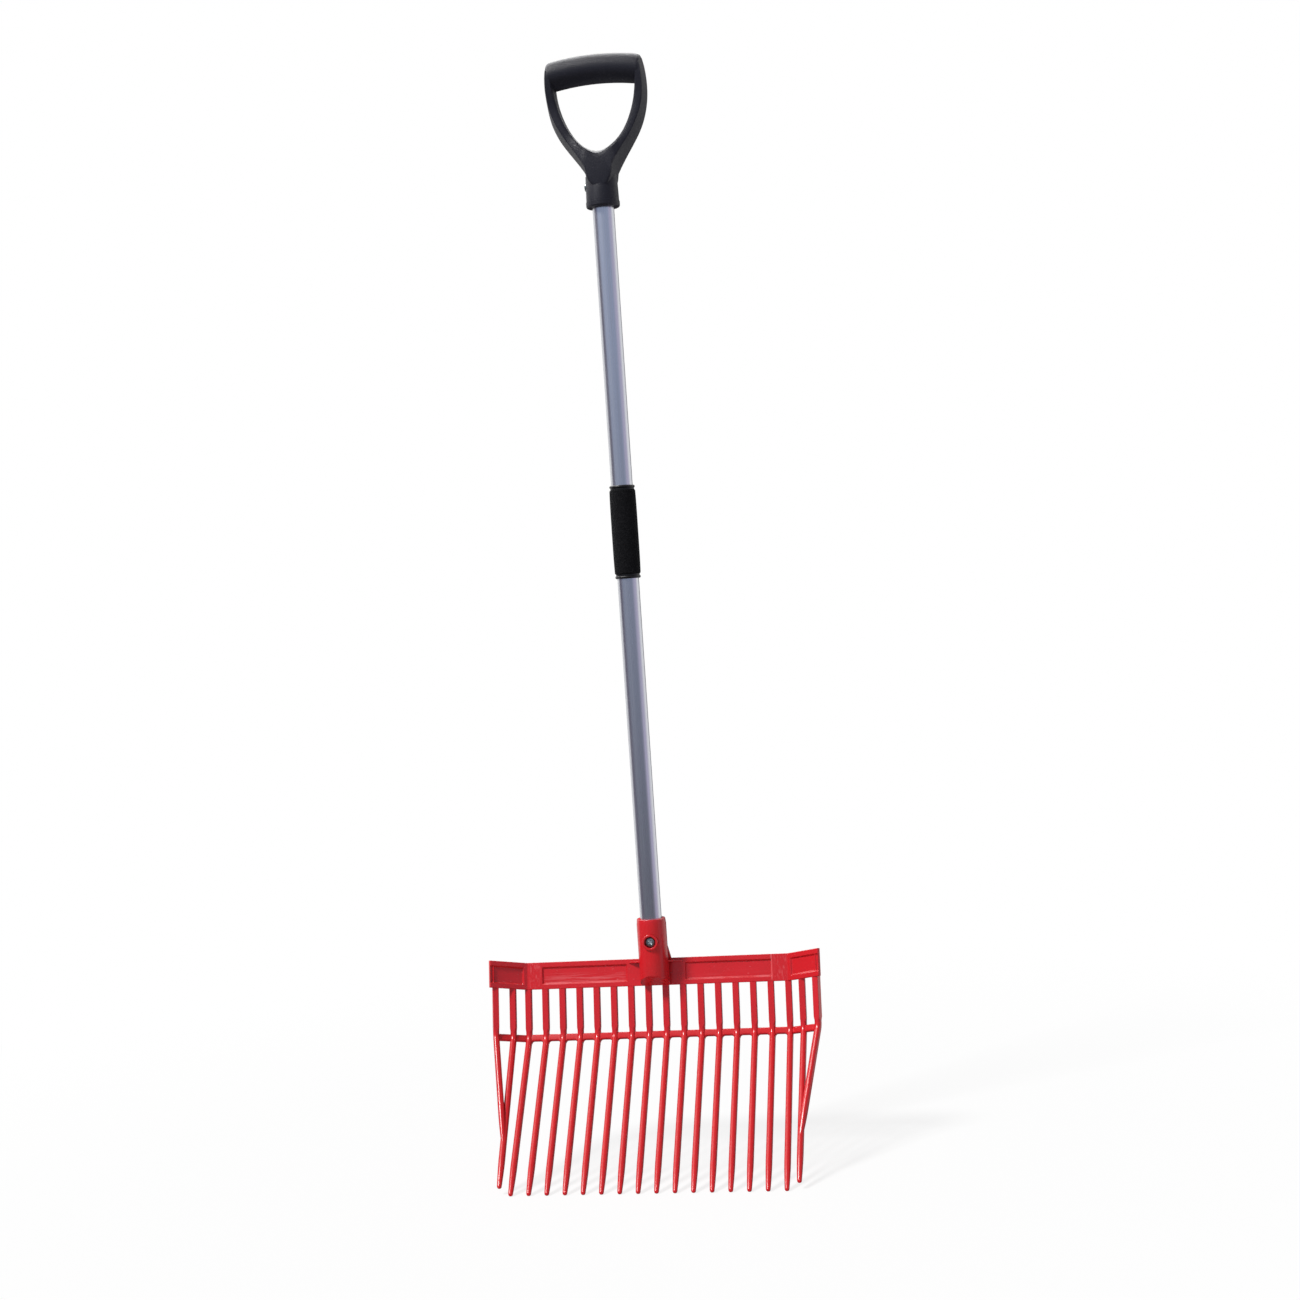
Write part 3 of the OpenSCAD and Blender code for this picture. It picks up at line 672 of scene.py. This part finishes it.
def tine(head, bend, straight):
    """One tine: a root behind the plate, a flat upper length, the bend and a rounded prong."""
    width, depth = head.tine_w, head.tine_depth
    bm = bmesh.new()
    sunk = -head.recess - head.edge_round
    wall, step = head.rim + head.draft, head.rim - head.edge_round
    ramp = head.root_rise - depth + head.plate_t / 2
    flat_end, round_start, prong_round = width * 0.8, width * 0.25, width * 0.42
    flat = [
        flat_station(head, head.root_rise, sunk, -head.plate_t * 0.9),
        flat_station(head, wall, sunk, wall - head.root_rise - head.plate_t / 2),
        flat_station(head, step, 0, step - head.root_rise - head.plate_t / 2),
        flat_station(head, ramp, 0, -depth),
        flat_station(head, -head.bend_drop / 2, 0, -depth),
        flat_station(head, -head.bend_drop + flat_end, 0, -depth),
    ]
    upper = sweep(bm, section(bm, width, depth, head.edge_round, flat[0]), flat)

    hub = Matrix.Translation((0, -head.bend_drop, head.bend_r))
    down = along(-head.bend_r - depth / 2) @ Matrix.Rotation(pi / 2, 4, "X")
    bend_steps = 10
    stations = [hub @ Matrix.Translation((0, round_start, 0)) @ down]
    stations += [hub @ Matrix.Rotation(-bend * i / bend_steps, 4, "X") @ down for i in range(bend_steps + 1)]
    end = stations[-1]
    body = straight - head.taper_l
    stations += [end @ along(body * k) for k in (0.5, 1.0)]
    tip_r = head.tip_d / 2
    slim, flatten = head.tip_d / width, head.tip_d / depth
    for k in (0.25, 0.5, 0.75, 1.0):
        ease = k ** 1.5
        stations.append(end @ along(body + (head.taper_l - tip_r) * k)
                        @ spread(1 + (slim - 1) * ease, 1 + (flatten - 1) * ease))
    for turn in (25, 50, 70, 85):
        size = cos(radians(turn))
        stations.append(end @ along(straight - tip_r * (1 - sin(radians(turn))))
                        @ spread(slim * size, flatten * size))
    lower = section(bm, width, depth, prong_round, stations[0])
    gap = [*upper.edges, *lower.edges]
    sweep(bm, lower, stations)
    bmesh.ops.delete(bm, geom=[upper, lower], context="FACES_ONLY")
    bmesh.ops.bridge_loops(bm, edges=gap)
    outward(bm)
    return bm


def crossbar_web(head):
    """Crossbar in one gap between main tines, drawn across it and deepened into a fillet at both ends."""
    gap, r = (head.pitch - head.tine_w) / 2, head.web_r
    top, low = head.cross_h / 2, -head.cross_h / 2
    sunk, rounding = head.tine_w * 0.3, head.edge_round * 2.6
    side = [(gap + sunk, low - r), *arc((gap - r, low - r), r, 0, 90, 5)]
    run = side + [(-x, y) for x, y in reversed(side)]
    stations = [Matrix.Translation((x, (top + y) / 2, -head.cross_t / 2)) @ Matrix.Rotation(-pi / 2, 4, "Y")
                @ spread(1.0, (top - y) / head.cross_h) for x, y in run]
    bm = bmesh.new()
    sweep(bm, section(bm, head.cross_t, head.cross_h, rounding, stations[0]), stations)
    outward(bm)
    return bm


def wing_crossbar(head, run):
    """Plain crossbar along a wing."""
    start, half, rounding = -head.tine_w / 2, head.cross_h / 2, head.edge_round * 2.2
    bm = slab([(start, -half), (run, -half), (run, half), (start, half)], head.cross_t)
    rounded_edges(bm, rounding, segments=3)
    return bm


def head_socket(head):
    """Socket for the tube, closed below it, with a slanted and rounded tail."""
    top = HEAD_HIGH.z
    low = top - head.socket_h
    r, bore, lip = head.socket_d / 2, head.socket_bore / 2, head.edge_round
    collar = 9 * lip
    bm = lathe([(0, TUBE_LOW.z), (bore, TUBE_LOW.z), (bore, top - lip), (bore + lip, top),
                *arc((r - 2 * lip, top - lip), lip, 90, 0, 3), (r, top - collar), (r, low), (0, low)],
               steps=96, closed=False)
    roll = head.tail_round
    slope = atan(head.tail_h / (r + head.blade_y))
    centre = Vector((0, roll - r, low + (roll + (r - roll + head.blade_y) * sin(slope)) / cos(slope)))
    cuts = 8
    for i in range(1, cuts + 1):
        turn = (pi / 2 - slope) * i / cuts
        out = Vector((0, -cos(turn), -sin(turn)))
        cut = bmesh.ops.bisect_plane(bm, geom=bm.verts[:] + bm.edges[:] + bm.faces[:], dist=TOUCHING,
                                     plane_co=centre + out * roll, plane_no=out, clear_outer=True)
        bmesh.ops.edgeloop_fill(bm, edges=edges_in(cut["geom_cut"]))
    outward(bm)
    return bm


def screw_ring(head):
    """Raised ring round the head's screw, about Z."""
    r, bore, rise = head.boss_d / 2, head.boss_bore / 2, head.socket_d / 2 + head.boss_rise
    lip, sunk = head.edge_round * 1.3, 0.0045
    inside = head.socket_d / 2 - sunk
    return lathe([(bore, inside), (r, inside), *arc((r - lip, rise - lip), lip, 0, 90, 4),
                  *arc((bore + lip, rise - lip), lip, 90, 180, 4)], steps=48)


def socket_webs(head):
    """Small webs from the socket to the plate, for the right side."""
    bm = bmesh.new()
    low, r, thick = HEAD_HIGH.z - head.socket_h, head.socket_d / 2, head.plate_t
    start = r * 0.6
    gusset_h, gusset_w = head.socket_d * 0.42, head.socket_d * 0.05
    upright = slab([(start, -thick), (r + gusset_w, -thick), (r + gusset_w, 0), (r - gusset_w, gusset_h),
                    (start, gusset_h)], thick)
    rounded_edges(upright, head.edge_round, segments=2)
    at = Matrix.Translation((0, head.blade_y + head.plate_h * sin(head.blade_tilt) - thick,
                             low + head.plate_h * cos(head.blade_tilt)))
    place(bm, upright, at @ Matrix.Rotation(pi / 2, 4, "X"))
    up, fin_t, short = head.plate_h * 0.84, thick * 0.45, 0.0016
    lean = head.blade_y / cos(head.blade_tilt) + up * tan(head.blade_tilt)
    inner = head.socket_d - short
    fin = slab([(start, -head.recess), (inner, -head.recess), (inner, 0), (r - short, lean), (start, lean)],
               fin_t)
    rounded_edges(fin, head.edge_round * 0.8, segments=2)
    place(bm, fin, blade_frame(head) @ Matrix.Translation((0, up, 0)) @ Matrix.Rotation(pi / 2, 4, "X"))
    return bm


class FORK_OT_head(Operator):
    """Moulded head: socket, plate with wings, crossbar and tines"""
    bl_idname = "fork.head"
    bl_label = "Moulded head"

    # Inner and outer tine of a wing: the share of the fold that it rolls by, and of the bend that it takes
    roll_shares = (0.05, 0.54)
    bend_shares = (0.925, 0.813)
    # Their straight lengths, as a share of a main tine's and in pitches
    inner_prong_share, outer_prong_pitches = 0.94, 6.4

    def execute(self, context):
        head = context.scene.fork_head
        blade = blade_frame(head)
        total = bmesh.new()
        place(total, head_plate(head), blade)
        self.main_tines(total, head, blade)
        for side in (1, -1):
            flip = Matrix.Diagonal((side, 1, 1, 1))
            self.wing_tines(total, head, flip @ blade)
            place(total, socket_webs(head), flip)
        self.socket(total, head, context.scene.fork_grip)
        finish = red_plastic(context.scene.fork_finish, head)
        piece(total, "head_moulding", finish, "fork_head")
        return {"FINISHED"}

    def main_tines(self, total, head, blade):
        """Tines and crossbar between the folds."""
        fold, count = fold_at(head), head.tines_main
        bar = at_bend(head, head.bend_angle / 2) @ along(-head.cross_back)
        tines = [blade @ Matrix.Translation((i * head.pitch - fold, 0, -head.tine_set_back))
                 for i in range(count)]
        webs = [blade @ Matrix.Translation(((i + 0.5) * head.pitch - fold, 0, 0)) @ bar
                for i in range(count - 1)]
        place(total, tine(head, head.bend_angle, head.prong_l), *tines)
        place(total, crossbar_web(head), *webs)

    def wing_tines(self, total, head, blade):
        """Tines and crossbar of one wing."""
        fold, slope = fold_at(head), head.wing_rise / head.wing_l
        prongs = (head.prong_l * self.inner_prong_share, head.pitch * self.outer_prong_pitches)
        for i, (roll_share, bend_share, prong) in enumerate(zip(self.roll_shares, self.bend_shares, prongs)):
            out = (i + 1) * head.pitch
            roll = head.wing_fold * roll_share
            back = head.tine_w / 2 * sin(head.wing_fold - roll)
            at = Matrix.Translation((fold + out * cos(head.wing_fold), slope * out,
                                     out * sin(head.wing_fold) - head.tine_set_back - back))
            place(total, tine(head, head.bend_angle * bend_share, prong),
                  blade @ at @ Matrix.Rotation(-roll, 4, "Y"))
        wing = blade @ Matrix.Translation((fold, 0, 0)) @ Matrix.Rotation(-head.wing_fold, 4, "Y")
        bar = wing_crossbar(head, len(self.roll_shares) * head.pitch)
        place(total, bar, wing @ at_bend(head, head.bend_angle / 2) @ Matrix.Rotation(atan(slope), 4, "Z")
              @ along(-head.cross_back - back))

    def socket(self, total, head, screw):
        """Socket, carved for its screw."""
        seat = -HEAD_SCREW_LOW.y - screw.screw_head_h
        forward = along(HEAD_SCREW_Z) @ Matrix.Rotation(pi / 2, 4, "X")
        r, beyond = head.boss_bore / 2, head.socket_d
        drill = lathe([(0, seat), (r, seat), (r, beyond), (0, beyond)], steps=48, closed=False)
        cutter = bmesh.new()
        place(cutter, drill, forward)
        body = head_socket(head)
        carve(body, cutter)
        place(total, body)
        place(total, screw_ring(head), forward)


# Tube, grip, handle and screws


class FORK_OT_tube(Operator):
    """Drawn aluminium tube"""
    bl_idname = "fork.tube"
    bl_label = "Tube"

    def execute(self, context):
        sizes = context.scene.fork_grip
        r = TUBE_HIGH.x
        inner = r - sizes.tube_wall
        lip = sizes.tube_wall / 4
        bm = lathe([(inner, TUBE_LOW.z), (r - lip, TUBE_LOW.z), (r, TUBE_LOW.z + lip), (r, TUBE_HIGH.z - lip),
                    (r - lip, TUBE_HIGH.z), (inner, TUBE_HIGH.z)], steps=96)
        piece(bm, "tube", drawn_aluminium(context.scene.fork_finish), "shaft_tube")
        return {"FINISHED"}


class FORK_OT_grip(Operator):
    """Foam sleeve with an end ring above and below"""
    bl_idname = "fork.grip"
    bl_label = "Foam grip"

    inner = TUBE_HIGH.x + SLEEVE_PLAY

    def execute(self, context):
        sizes, tones = context.scene.fork_grip, context.scene.fork_finish
        foam = piece(self.sleeve(sizes), "foam_sleeve", grip_foam(tones), "foam_grip")
        rubber = ring_rubber(tones)
        for node, up in (("grip_ring_upper", 1), ("grip_ring_lower", -1)):
            name = node.replace("grip_ring", "end_ring")
            piece(self.ring(sizes, node, up), name, rubber, node)
        return {"FINISHED"}

    def sleeve(self, sizes):
        """Sleeve that is drawn in a little towards its ends."""
        r, rounding = FOAM_HIGH.x, sizes.foam_round
        middle, straight = (FOAM_LOW.z + FOAM_HIGH.z) / 2, FOAM_HIGH.z - FOAM_LOW.z - 2 * rounding
        end_r = r - sizes.foam_swell
        steps = 12
        wall = [(r - sizes.foam_swell * (abs(2 * i / steps - 1)) ** 4, middle + (i / steps - 0.5) * straight)
                for i in range(1, steps)]
        return lathe([(self.inner, FOAM_LOW.z),
                      *arc((end_r - rounding, FOAM_LOW.z + rounding), rounding, -90, 0, 6), *wall,
                      *arc((end_r - rounding, FOAM_HIGH.z - rounding), rounding, 0, 90, 6),
                      (self.inner, FOAM_HIGH.z)], steps=72)

    def ring(self, sizes, node, up):
        """Round bead with a groove that meets the foam."""
        low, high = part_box(node)
        far, near = (high.z, low.z) if up > 0 else (low.z, high.z)
        bead, groove = sizes.bead_h / 2, sizes.groove_d / 2
        crown = arc((high.x - bead, far - up * bead), bead, -90 * up, 90 * up, 10)
        return lathe([(self.inner, near), (groove, near), (groove, far - up * 2 * bead), *crown,
                      (self.inner, far)], steps=72)


def bezier(points, t):
    """Point on a cubic curve."""
    a, b, c, d = points
    s = 1 - t
    return a * s ** 3 + b * 3 * t * s ** 2 + c * 3 * t ** 2 * s + d * t ** 3


def smooth(t):
    """A soft step from 0 to 1."""
    t = min(max(t, 0.0), 1.0)
    return t * t * (3 - 2 * t)


class FORK_OT_handle(Operator):
    """D-handle: hand bar, arms, neck and ferrule in one moulding"""
    bl_idname = "fork.handle"
    bl_label = "D-handle"

    bar_end_share = 0.94
    # Curves of an arm's inner and outer edge: shares of the half width, of the bar and of the opening,
    # and where the outer one meets the ferrule, in shares of its radius and of the neck
    inner_x, inner_top, inner_drops = (0.811, 0.866, 0.358, 0.0), 0.6, (0.5, 1.0, 1.0)
    outer_x, outer_top, outer_drops = (0.94, 1.197, 0.58), 0.745, (0.67, 0.89)
    join_x, join_drop = 0.98, 0.91
    # Shares of an arm's run where it has left the bar, thickens, widens, and turns into the neck
    leave, thicken, widen, turn = 0.3, 0.5, 0.55, 0.85
    neck_depth_share, tongue_share = 1.02, 0.95
    # Sections of an arm below the bar and of one about to widen: across it from the inner edge at -1
    # to the outer edge at 1, and through it from the front at -1 to the back at 1
    bar_section = ((-1, -0.62), (-0.88, -0.88), (-0.62, -1), (0.5, -1), (0.68, -0.9), (0.86, -0.3),
                   (0.97, 0.3), (1, 0.7), (0.9, 0.93), (0.65, 1), (-0.7, 1), (-0.93, 0.85), (-1, 0.6))
    neck_section = ((-1, -0.62), (-0.88, -0.88), (-0.62, -1), (0.05, -1), (0.2, -0.94), (0.5, -0.4),
                    (0.8, 0.15), (1, 0.65), (0.95, 0.88), (0.72, 1), (-0.7, 1), (-0.93, 0.85), (-1, 0.6))

    def execute(self, context):
        sizes = context.scene.fork_handle
        total = bmesh.new()
        for part in (self.bar(sizes), self.arms(sizes), self.ferrule(sizes)):
            place(total, part)
        finish = black_plastic(context.scene.fork_finish)
        piece(total, "d_handle_moulding", finish, "d_handle")
        return {"FINISHED"}

    def bar(self, sizes):
        """Arched round bar with rounded ends."""
        end = sizes.half_w * self.bar_end_share
        radius, rounding = sizes.bar_d / 2, sizes.bar_round
        straight = end - rounding
        places = [(straight + rounding * cos(a), 1 - (1 - sin(a)) * rounding / radius)
                  for a in (radians(d) for d in (0, 22, 45, 68, 90))]
        steps = 16
        middle = [(straight * (1 - 2 * i / steps), 1.0) for i in range(1, steps)]
        stations = []
        for x, size in places + middle + [(-x, k) for x, k in reversed(places)]:
            z = radius - sizes.bar_rise * (x / end) ** 2
            lean = atan(2 * sizes.bar_rise * x / end ** 2) if abs(x) < straight else 0.0
            stations.append(Matrix.Translation((x, 0, z)) @ Matrix.Rotation(lean, 4, "Y")
                            @ Matrix.Rotation(-pi / 2, 4, "Y") @ spread(size, size))
        bm = bmesh.new()
        bmesh.ops.create_circle(bm, cap_ends=True, segments=48, radius=radius, matrix=stations[0])
        bm.faces.ensure_lookup_table()
        sweep(bm, bm.faces[0], stations)
        outward(bm)
        return bm

    def arms(self, sizes):
        """Both arms and the neck, bridged from bar end to bar end round the opening."""
        half, drop, bar = sizes.half_w, sizes.open_h, sizes.bar_d
        inner_z = [bar * self.inner_top, *(-drop * k for k in self.inner_drops)]
        outer_z = [bar * self.outer_top, *(-drop * k for k in self.outer_drops)]
        inner = [Vector((half * x, z)) for x, z in zip(self.inner_x, inner_z)]
        outer = [Vector((half * x, z)) for x, z in zip(self.outer_x, outer_z)]
        outer.append(Vector((sizes.ferrule_d / 2 * self.join_x, -drop - sizes.neck_h * self.join_drop)))
        steps = 32
        bm = bmesh.new()
        rings = [self.arm_ring(bm, sizes, inner, outer, i / steps, 1) for i in range(steps + 1)]
        rings += [self.arm_ring(bm, sizes, inner, outer, i / steps, -1) for i in range(steps - 1, -1, -1)]
        for a, b in zip(rings, rings[1:]):
            bmesh.ops.bridge_loops(bm, edges=a + b)
        for ring in (rings[0], rings[-1]):
            bmesh.ops.edgeloop_fill(bm, edges=ring)
        outward(bm)
        return bm

    def arm_ring(self, bm, sizes, inner, outer, t, side):
        """Loop of edges across an arm at a share of its run."""
        near = bezier(inner, t)
        past = max(t - self.turn, 0.0) / (1 - self.turn) * pi / 2
        tongue = Vector((outer[3].x * (cos(past) - 1), -sizes.neck_h * self.tongue_share * sin(past)))
        far = bezier(outer, min(t / self.turn, 1.0)) + tongue
        slope = smooth(t / self.thicken) * (1 - smooth((t - self.widen) / (1 - self.widen)))
        arm, bar_r, neck_r = sizes.arm_depth / 2, sizes.bar_d / 2, sizes.ferrule_d / 2 * self.neck_depth_share
        depth = arm + (bar_r - arm) * (1 - smooth(t / self.leave))
        depth += (neck_r - arm) * smooth((t - self.thicken) / (self.turn - self.thicken))
        above = far.y - bar_r + sizes.bar_rise
        if above > 0:
            depth = min(depth, (bar_r ** 2 - above ** 2) ** 0.5)
        verts = []
        for a, b in zip(self.bar_section, self.neck_section):
            across, deep = Vector(a).lerp(Vector(b), slope)
            point = near.lerp(far, (across + 1) / 2)
            verts.append(bm.verts.new((side * point.x, depth * deep, point.y)))
        return [bm.edges.new(pair) for pair in zip(verts, verts[1:] + verts[:1])]

    def ferrule(self, sizes):
        """Tapered ferrule with a band round its open end."""
        low, top = HANDLE_LOW.z, -sizes.open_h - sizes.neck_h
        r, end, rounding = sizes.ferrule_d / 2, sizes.ferrule_end_d / 2, sizes.end_round
        bore = TUBE_HIGH.x + TUBE_PLAY
        cone, chamfer = sizes.neck_h / 2, 0.0003
        return lathe([(0, TUBE_HIGH.z), (bore, TUBE_HIGH.z), (bore, low),
                      *arc((end - rounding, low + rounding), rounding, -90, 0, 6),
                      (end, low + sizes.band_h - chamfer), (end - sizes.band_t, low + sizes.band_h),
                      (r, top), (r / 2, top + cone), (0, top + cone)], steps=72, closed=False)


class FORK_OT_screws(Operator):
    """Pan-head screws with a cross recess"""
    bl_idname = "fork.screws"
    bl_label = "Screws"

    head_turn, handle_turn = radians(38), radians(15)

    def execute(self, context):
        sizes = context.scene.fork_grip
        zinc = zinc_steel(context.scene.fork_finish)
        head_h = sizes.screw_head_h
        in_socket = (Matrix.Translation((0, HEAD_SCREW_LOW.y + head_h, HEAD_SCREW_Z))
                     @ Matrix.Rotation(pi / 2, 4, "X") @ Matrix.Rotation(self.head_turn, 4, "Z"))
        in_ferrule = (Matrix.Translation((HANDLE_SCREW_LOW.x + head_h, 0, HANDLE_SCREW_Z))
                      @ Matrix.Rotation(-pi / 2, 4, "Y") @ Matrix.Rotation(self.handle_turn, 4, "Z"))
        for node, at, long in (("head_screw", in_socket, HEAD_SCREW_HIGH.y - HEAD_SCREW_LOW.y),
                               ("handle_screw", in_ferrule, HANDLE_SCREW_HIGH.x - HANDLE_SCREW_LOW.x)):
            bm = bmesh.new()
            place(bm, self.screw(sizes, long - head_h), at)
            piece(bm, node.replace("screw", "pan_screw"), zinc, node, sharp=30.0)
        return {"FINISHED"}

    def screw(self, sizes, shank):
        """One screw about Z, with its head's seat at the origin."""
        r, h, d = sizes.screw_head_d / 2, sizes.screw_head_h, sizes.screw_d / 2
        point, tip_r, rounding, flat_r = d * 0.8, d * 0.4, h * 0.45, r * 0.6
        bm = lathe([(0, -shank), (tip_r, -shank), (d, -shank + point), (d, 0), (r, 0), (r, h / 2),
                    *arc((r - rounding, h / 2), rounding, 15, 75, 4), (flat_r, h), (0, h)],
                   steps=48, closed=False)
        for turn in (0, pi / 2):
            carve(bm, self.slot(sizes, turn))
        # Marks the cross recess for the painted highlight of the zinc finish
        recess = bm.verts.layers.float.new("recess")
        skin = 0.0003
        for vert in bm.verts:
            inside = vert.co.xy.length < sizes.slot_l / 2 and skin < vert.co.z < h - skin
            vert[recess] = 1.0 if inside else 0.0
        return bm

    def slot(self, sizes, turn):
        """Cutter for one slot of the cross, narrower at its floor."""
        h, floor_l, floor_w = sizes.screw_head_h, 0.55, 0.7
        bm = bmesh.new()
        bmesh.ops.create_cube(bm, size=1.0)
        bmesh.ops.scale(bm, vec=(sizes.slot_l, sizes.slot_w, sizes.slot_depth * 2), verts=bm.verts)
        bmesh.ops.translate(bm, vec=(0, 0, h), verts=bm.verts)
        for vert in bm.verts:
            if vert.co.z < h:
                vert.co.x *= floor_l
                vert.co.y *= floor_w
        bmesh.ops.rotate(bm, cent=(0, 0, 0), matrix=Matrix.Rotation(turn, 3, "Z"), verts=bm.verts)
        return bm


# Stage

WHITE = (1.0, 1.0, 1.0)

# What glossy pieces mirror: a base, then zones that each cover the ones before. A zone has an axis of the
# view's direction, where along it the zone begins and is full, and a tone
STUDIO_BASE = (0.12, 0.115, 0.13)
STUDIO_ZONES = (
    ("Z", -0.12, 0.14, (0.40, 0.47, 0.64)),
    ("Z", 0.30, 0.55, (0.36, 0.34, 0.34)),
    ("X", -0.82, -0.97, (0.13, 0.12, 0.17)),
    ("X", 0.78, 0.95, (0.56, 0.53, 0.69)),
    ("Y", 0.05, 0.40, WHITE),
    ("Y", 0.80, 0.93, (0.10, 0.09, 0.11)),
)
SOFT_BOX_WAY, SOFT_BOX_TONE = (-0.62, -0.02, 0.78), (1.9, 1.8, 1.65)
TOP_LIGHT_TONE = (5.6, 5.6, 5.6)
FLOOR_NEAR_TONE = (0.12, 0.12, 0.14)


def studio_tone(f, way):
    """What a glossy piece mirrors along a direction: the zones, a soft box and a light above."""
    x, y, z = f.axes(way, "XYZ")
    axes = {"X": x, "Y": y, "Z": z}
    tone = STUDIO_BASE
    for axis, start, full, zone in STUDIO_ZONES:
        tone = f.mix(f.between(axes[axis], start, full), tone, zone)
    box = f.node("VectorMath", {"operation": "DOT_PRODUCT"}, {0: way, 1: SOFT_BOX_WAY}, output="Value")
    tone = f.mix(f.between(box, 0.85, 0.97), tone, SOFT_BOX_TONE)
    above = f.between(z, 0.35, 0.6) * f.between(y, 0.02, 0.26) * f.between(x, 0.15, 0.4, 1.0, 0.0)
    return f.mix(above, tone, TOP_LIGHT_TONE)


def stage_floor(stage, tones):
    """Pale floor below the fork that fades to white away from it and keeps its soft shadow."""
    bm = bmesh.new()
    bmesh.ops.create_grid(bm, x_segments=1, y_segments=1, size=stage.floor_half)
    bmesh.ops.translate(bm, vec=(0, 0, CAD_BOX[0].z), verts=bm.verts)
    mesh = mesh_from(bm, "floor")
    bm.free()
    material, f = new_material("floor")
    from_tube = f.node("VectorMath", {"operation": "SUBTRACT"}, {0: f.position(), 1: (0, 0, TUBE_LOW.z)})
    away = f.node("VectorMath", {"operation": "LENGTH"}, {0: from_tube}, output="Value")
    way = f.node("VectorMath", {"operation": "NORMALIZE"}, {0: from_tube})
    seen, mirrored = f.ray("Camera"), f.ray("Glossy")
    reflected = f.mix(f.between(away, 0.5, 1.1), FLOOR_NEAR_TONE, studio_tone(f, way))
    matt = f.node("BsdfDiffuse", inputs={"Color": rgba(tones.floor)})
    plain = f.node("Emission", inputs={"Color": f.mix(mirrored, WHITE, reflected), "Strength": 1.0})
    shown = seen * f.between(away, 0.4, 1.4, 0.84, 1.0) + mirrored
    f.node("OutputMaterial", inputs={"Surface": f.node("MixShader", inputs={0: shown, 1: matt, 2: plain})})
    mesh.materials.append(material)
    show("floor", mesh)


def stage_world(stage):
    """White surround for the camera, a studio for reflections and even light for the rest."""
    world = bpy.data.worlds.new("studio")
    bpy.context.scene.world = world
    f = Finish(world)
    seen, mirrored = f.ray("Camera") + f.ray("Transmission"), f.ray("Glossy")
    studio = studio_tone(f, f.node("TexCoord", output="Generated"))
    tone = f.mix(seen, f.mix(mirrored, [stage.ambient] * 3, studio), WHITE)
    sky = f.node("Background", inputs={"Color": tone, "Strength": 1.0})
    f.node("OutputWorld", inputs={"Surface": sky})


def stage_key(stage):
    """A soft key light that falls evenly along a direction."""
    light = bpy.data.lights.new("key", "SUN")
    light.energy = stage.key
    light.angle = stage.key_spread
    show("key", light).rotation_euler = Vector(stage.key_way).to_track_quat("-Z", "Y").to_euler()


def stage_camera(stage):
    """The camera, at the photograph's place."""
    camera = bpy.data.cameras.new("camera")
    camera.lens = stage.lens
    camera.sensor_width = stage.sensor
    turn = (Matrix.Rotation(stage.heading, 4, "Z") @ Matrix.Rotation(pi / 2 + stage.pitch, 4, "X")
            @ Matrix.Rotation(stage.roll, 4, "Z"))
    seat = show("camera", camera)
    seat.matrix_world = Matrix.Translation(stage.camera_at) @ turn
    bpy.context.scene.camera = seat


class FORK_OT_stage(Operator):
    """Floor, surround, key light and camera"""
    bl_idname = "fork.stage"
    bl_label = "Stage"

    def execute(self, context):
        stage = context.scene.fork_stage
        stage_floor(stage, context.scene.fork_finish)
        stage_world(stage)
        stage_key(stage)
        stage_camera(stage)
        context.scene.view_settings.view_transform = "Standard"
        return {"FINISHED"}


class FORK_PT_sidebar(Panel):
    """Buttons that make the fork's pieces, and their settings"""
    bl_idname = "FORK_PT_sidebar"
    bl_label = "Manure Fork"
    bl_space_type = "VIEW_3D"
    bl_region_type = "UI"
    bl_category = "Fork"

    def draw(self, context):
        for operator in OPERATORS:
            self.layout.operator(operator.bl_idname)
        for group in GROUPS:
            box = self.layout.box()
            box.label(text=group)
            settings = getattr(context.scene, group)
            for key in settings.bl_rna.properties.keys():
                if key not in {"rna_type", "name"}:
                    box.prop(settings, key)


GROUPS = {
    "fork_head": FORK_PG_head,
    "fork_handle": FORK_PG_handle,
    "fork_grip": FORK_PG_grip,
    "fork_finish": FORK_PG_finish,
    "fork_stage": FORK_PG_stage,
}
OPERATORS = (FORK_OT_head, FORK_OT_tube, FORK_OT_grip, FORK_OT_handle, FORK_OT_screws, FORK_OT_stage)


def register():
    """Registers the settings, the operators and the panel."""
    for name, group in GROUPS.items():
        bpy.utils.register_class(group)
        setattr(bpy.types.Scene, name, PointerProperty(type=group))
    for each in (*OPERATORS, FORK_PT_sidebar):
        bpy.utils.register_class(each)


def unregister():
    """Takes them all out again."""
    for each in reversed((*OPERATORS, FORK_PT_sidebar)):
        bpy.utils.unregister_class(each)
    for name, group in reversed(GROUPS.items()):
        delattr(bpy.types.Scene, name)
        bpy.utils.unregister_class(group)


def main():
    """Builds the fork and its stage."""
    register()
    bpy.ops.fork.head()
    bpy.ops.fork.tube()
    bpy.ops.fork.grip()
    bpy.ops.fork.handle()
    bpy.ops.fork.screws()
    bpy.ops.fork.stage()


if __name__ == "__main__":
    main()
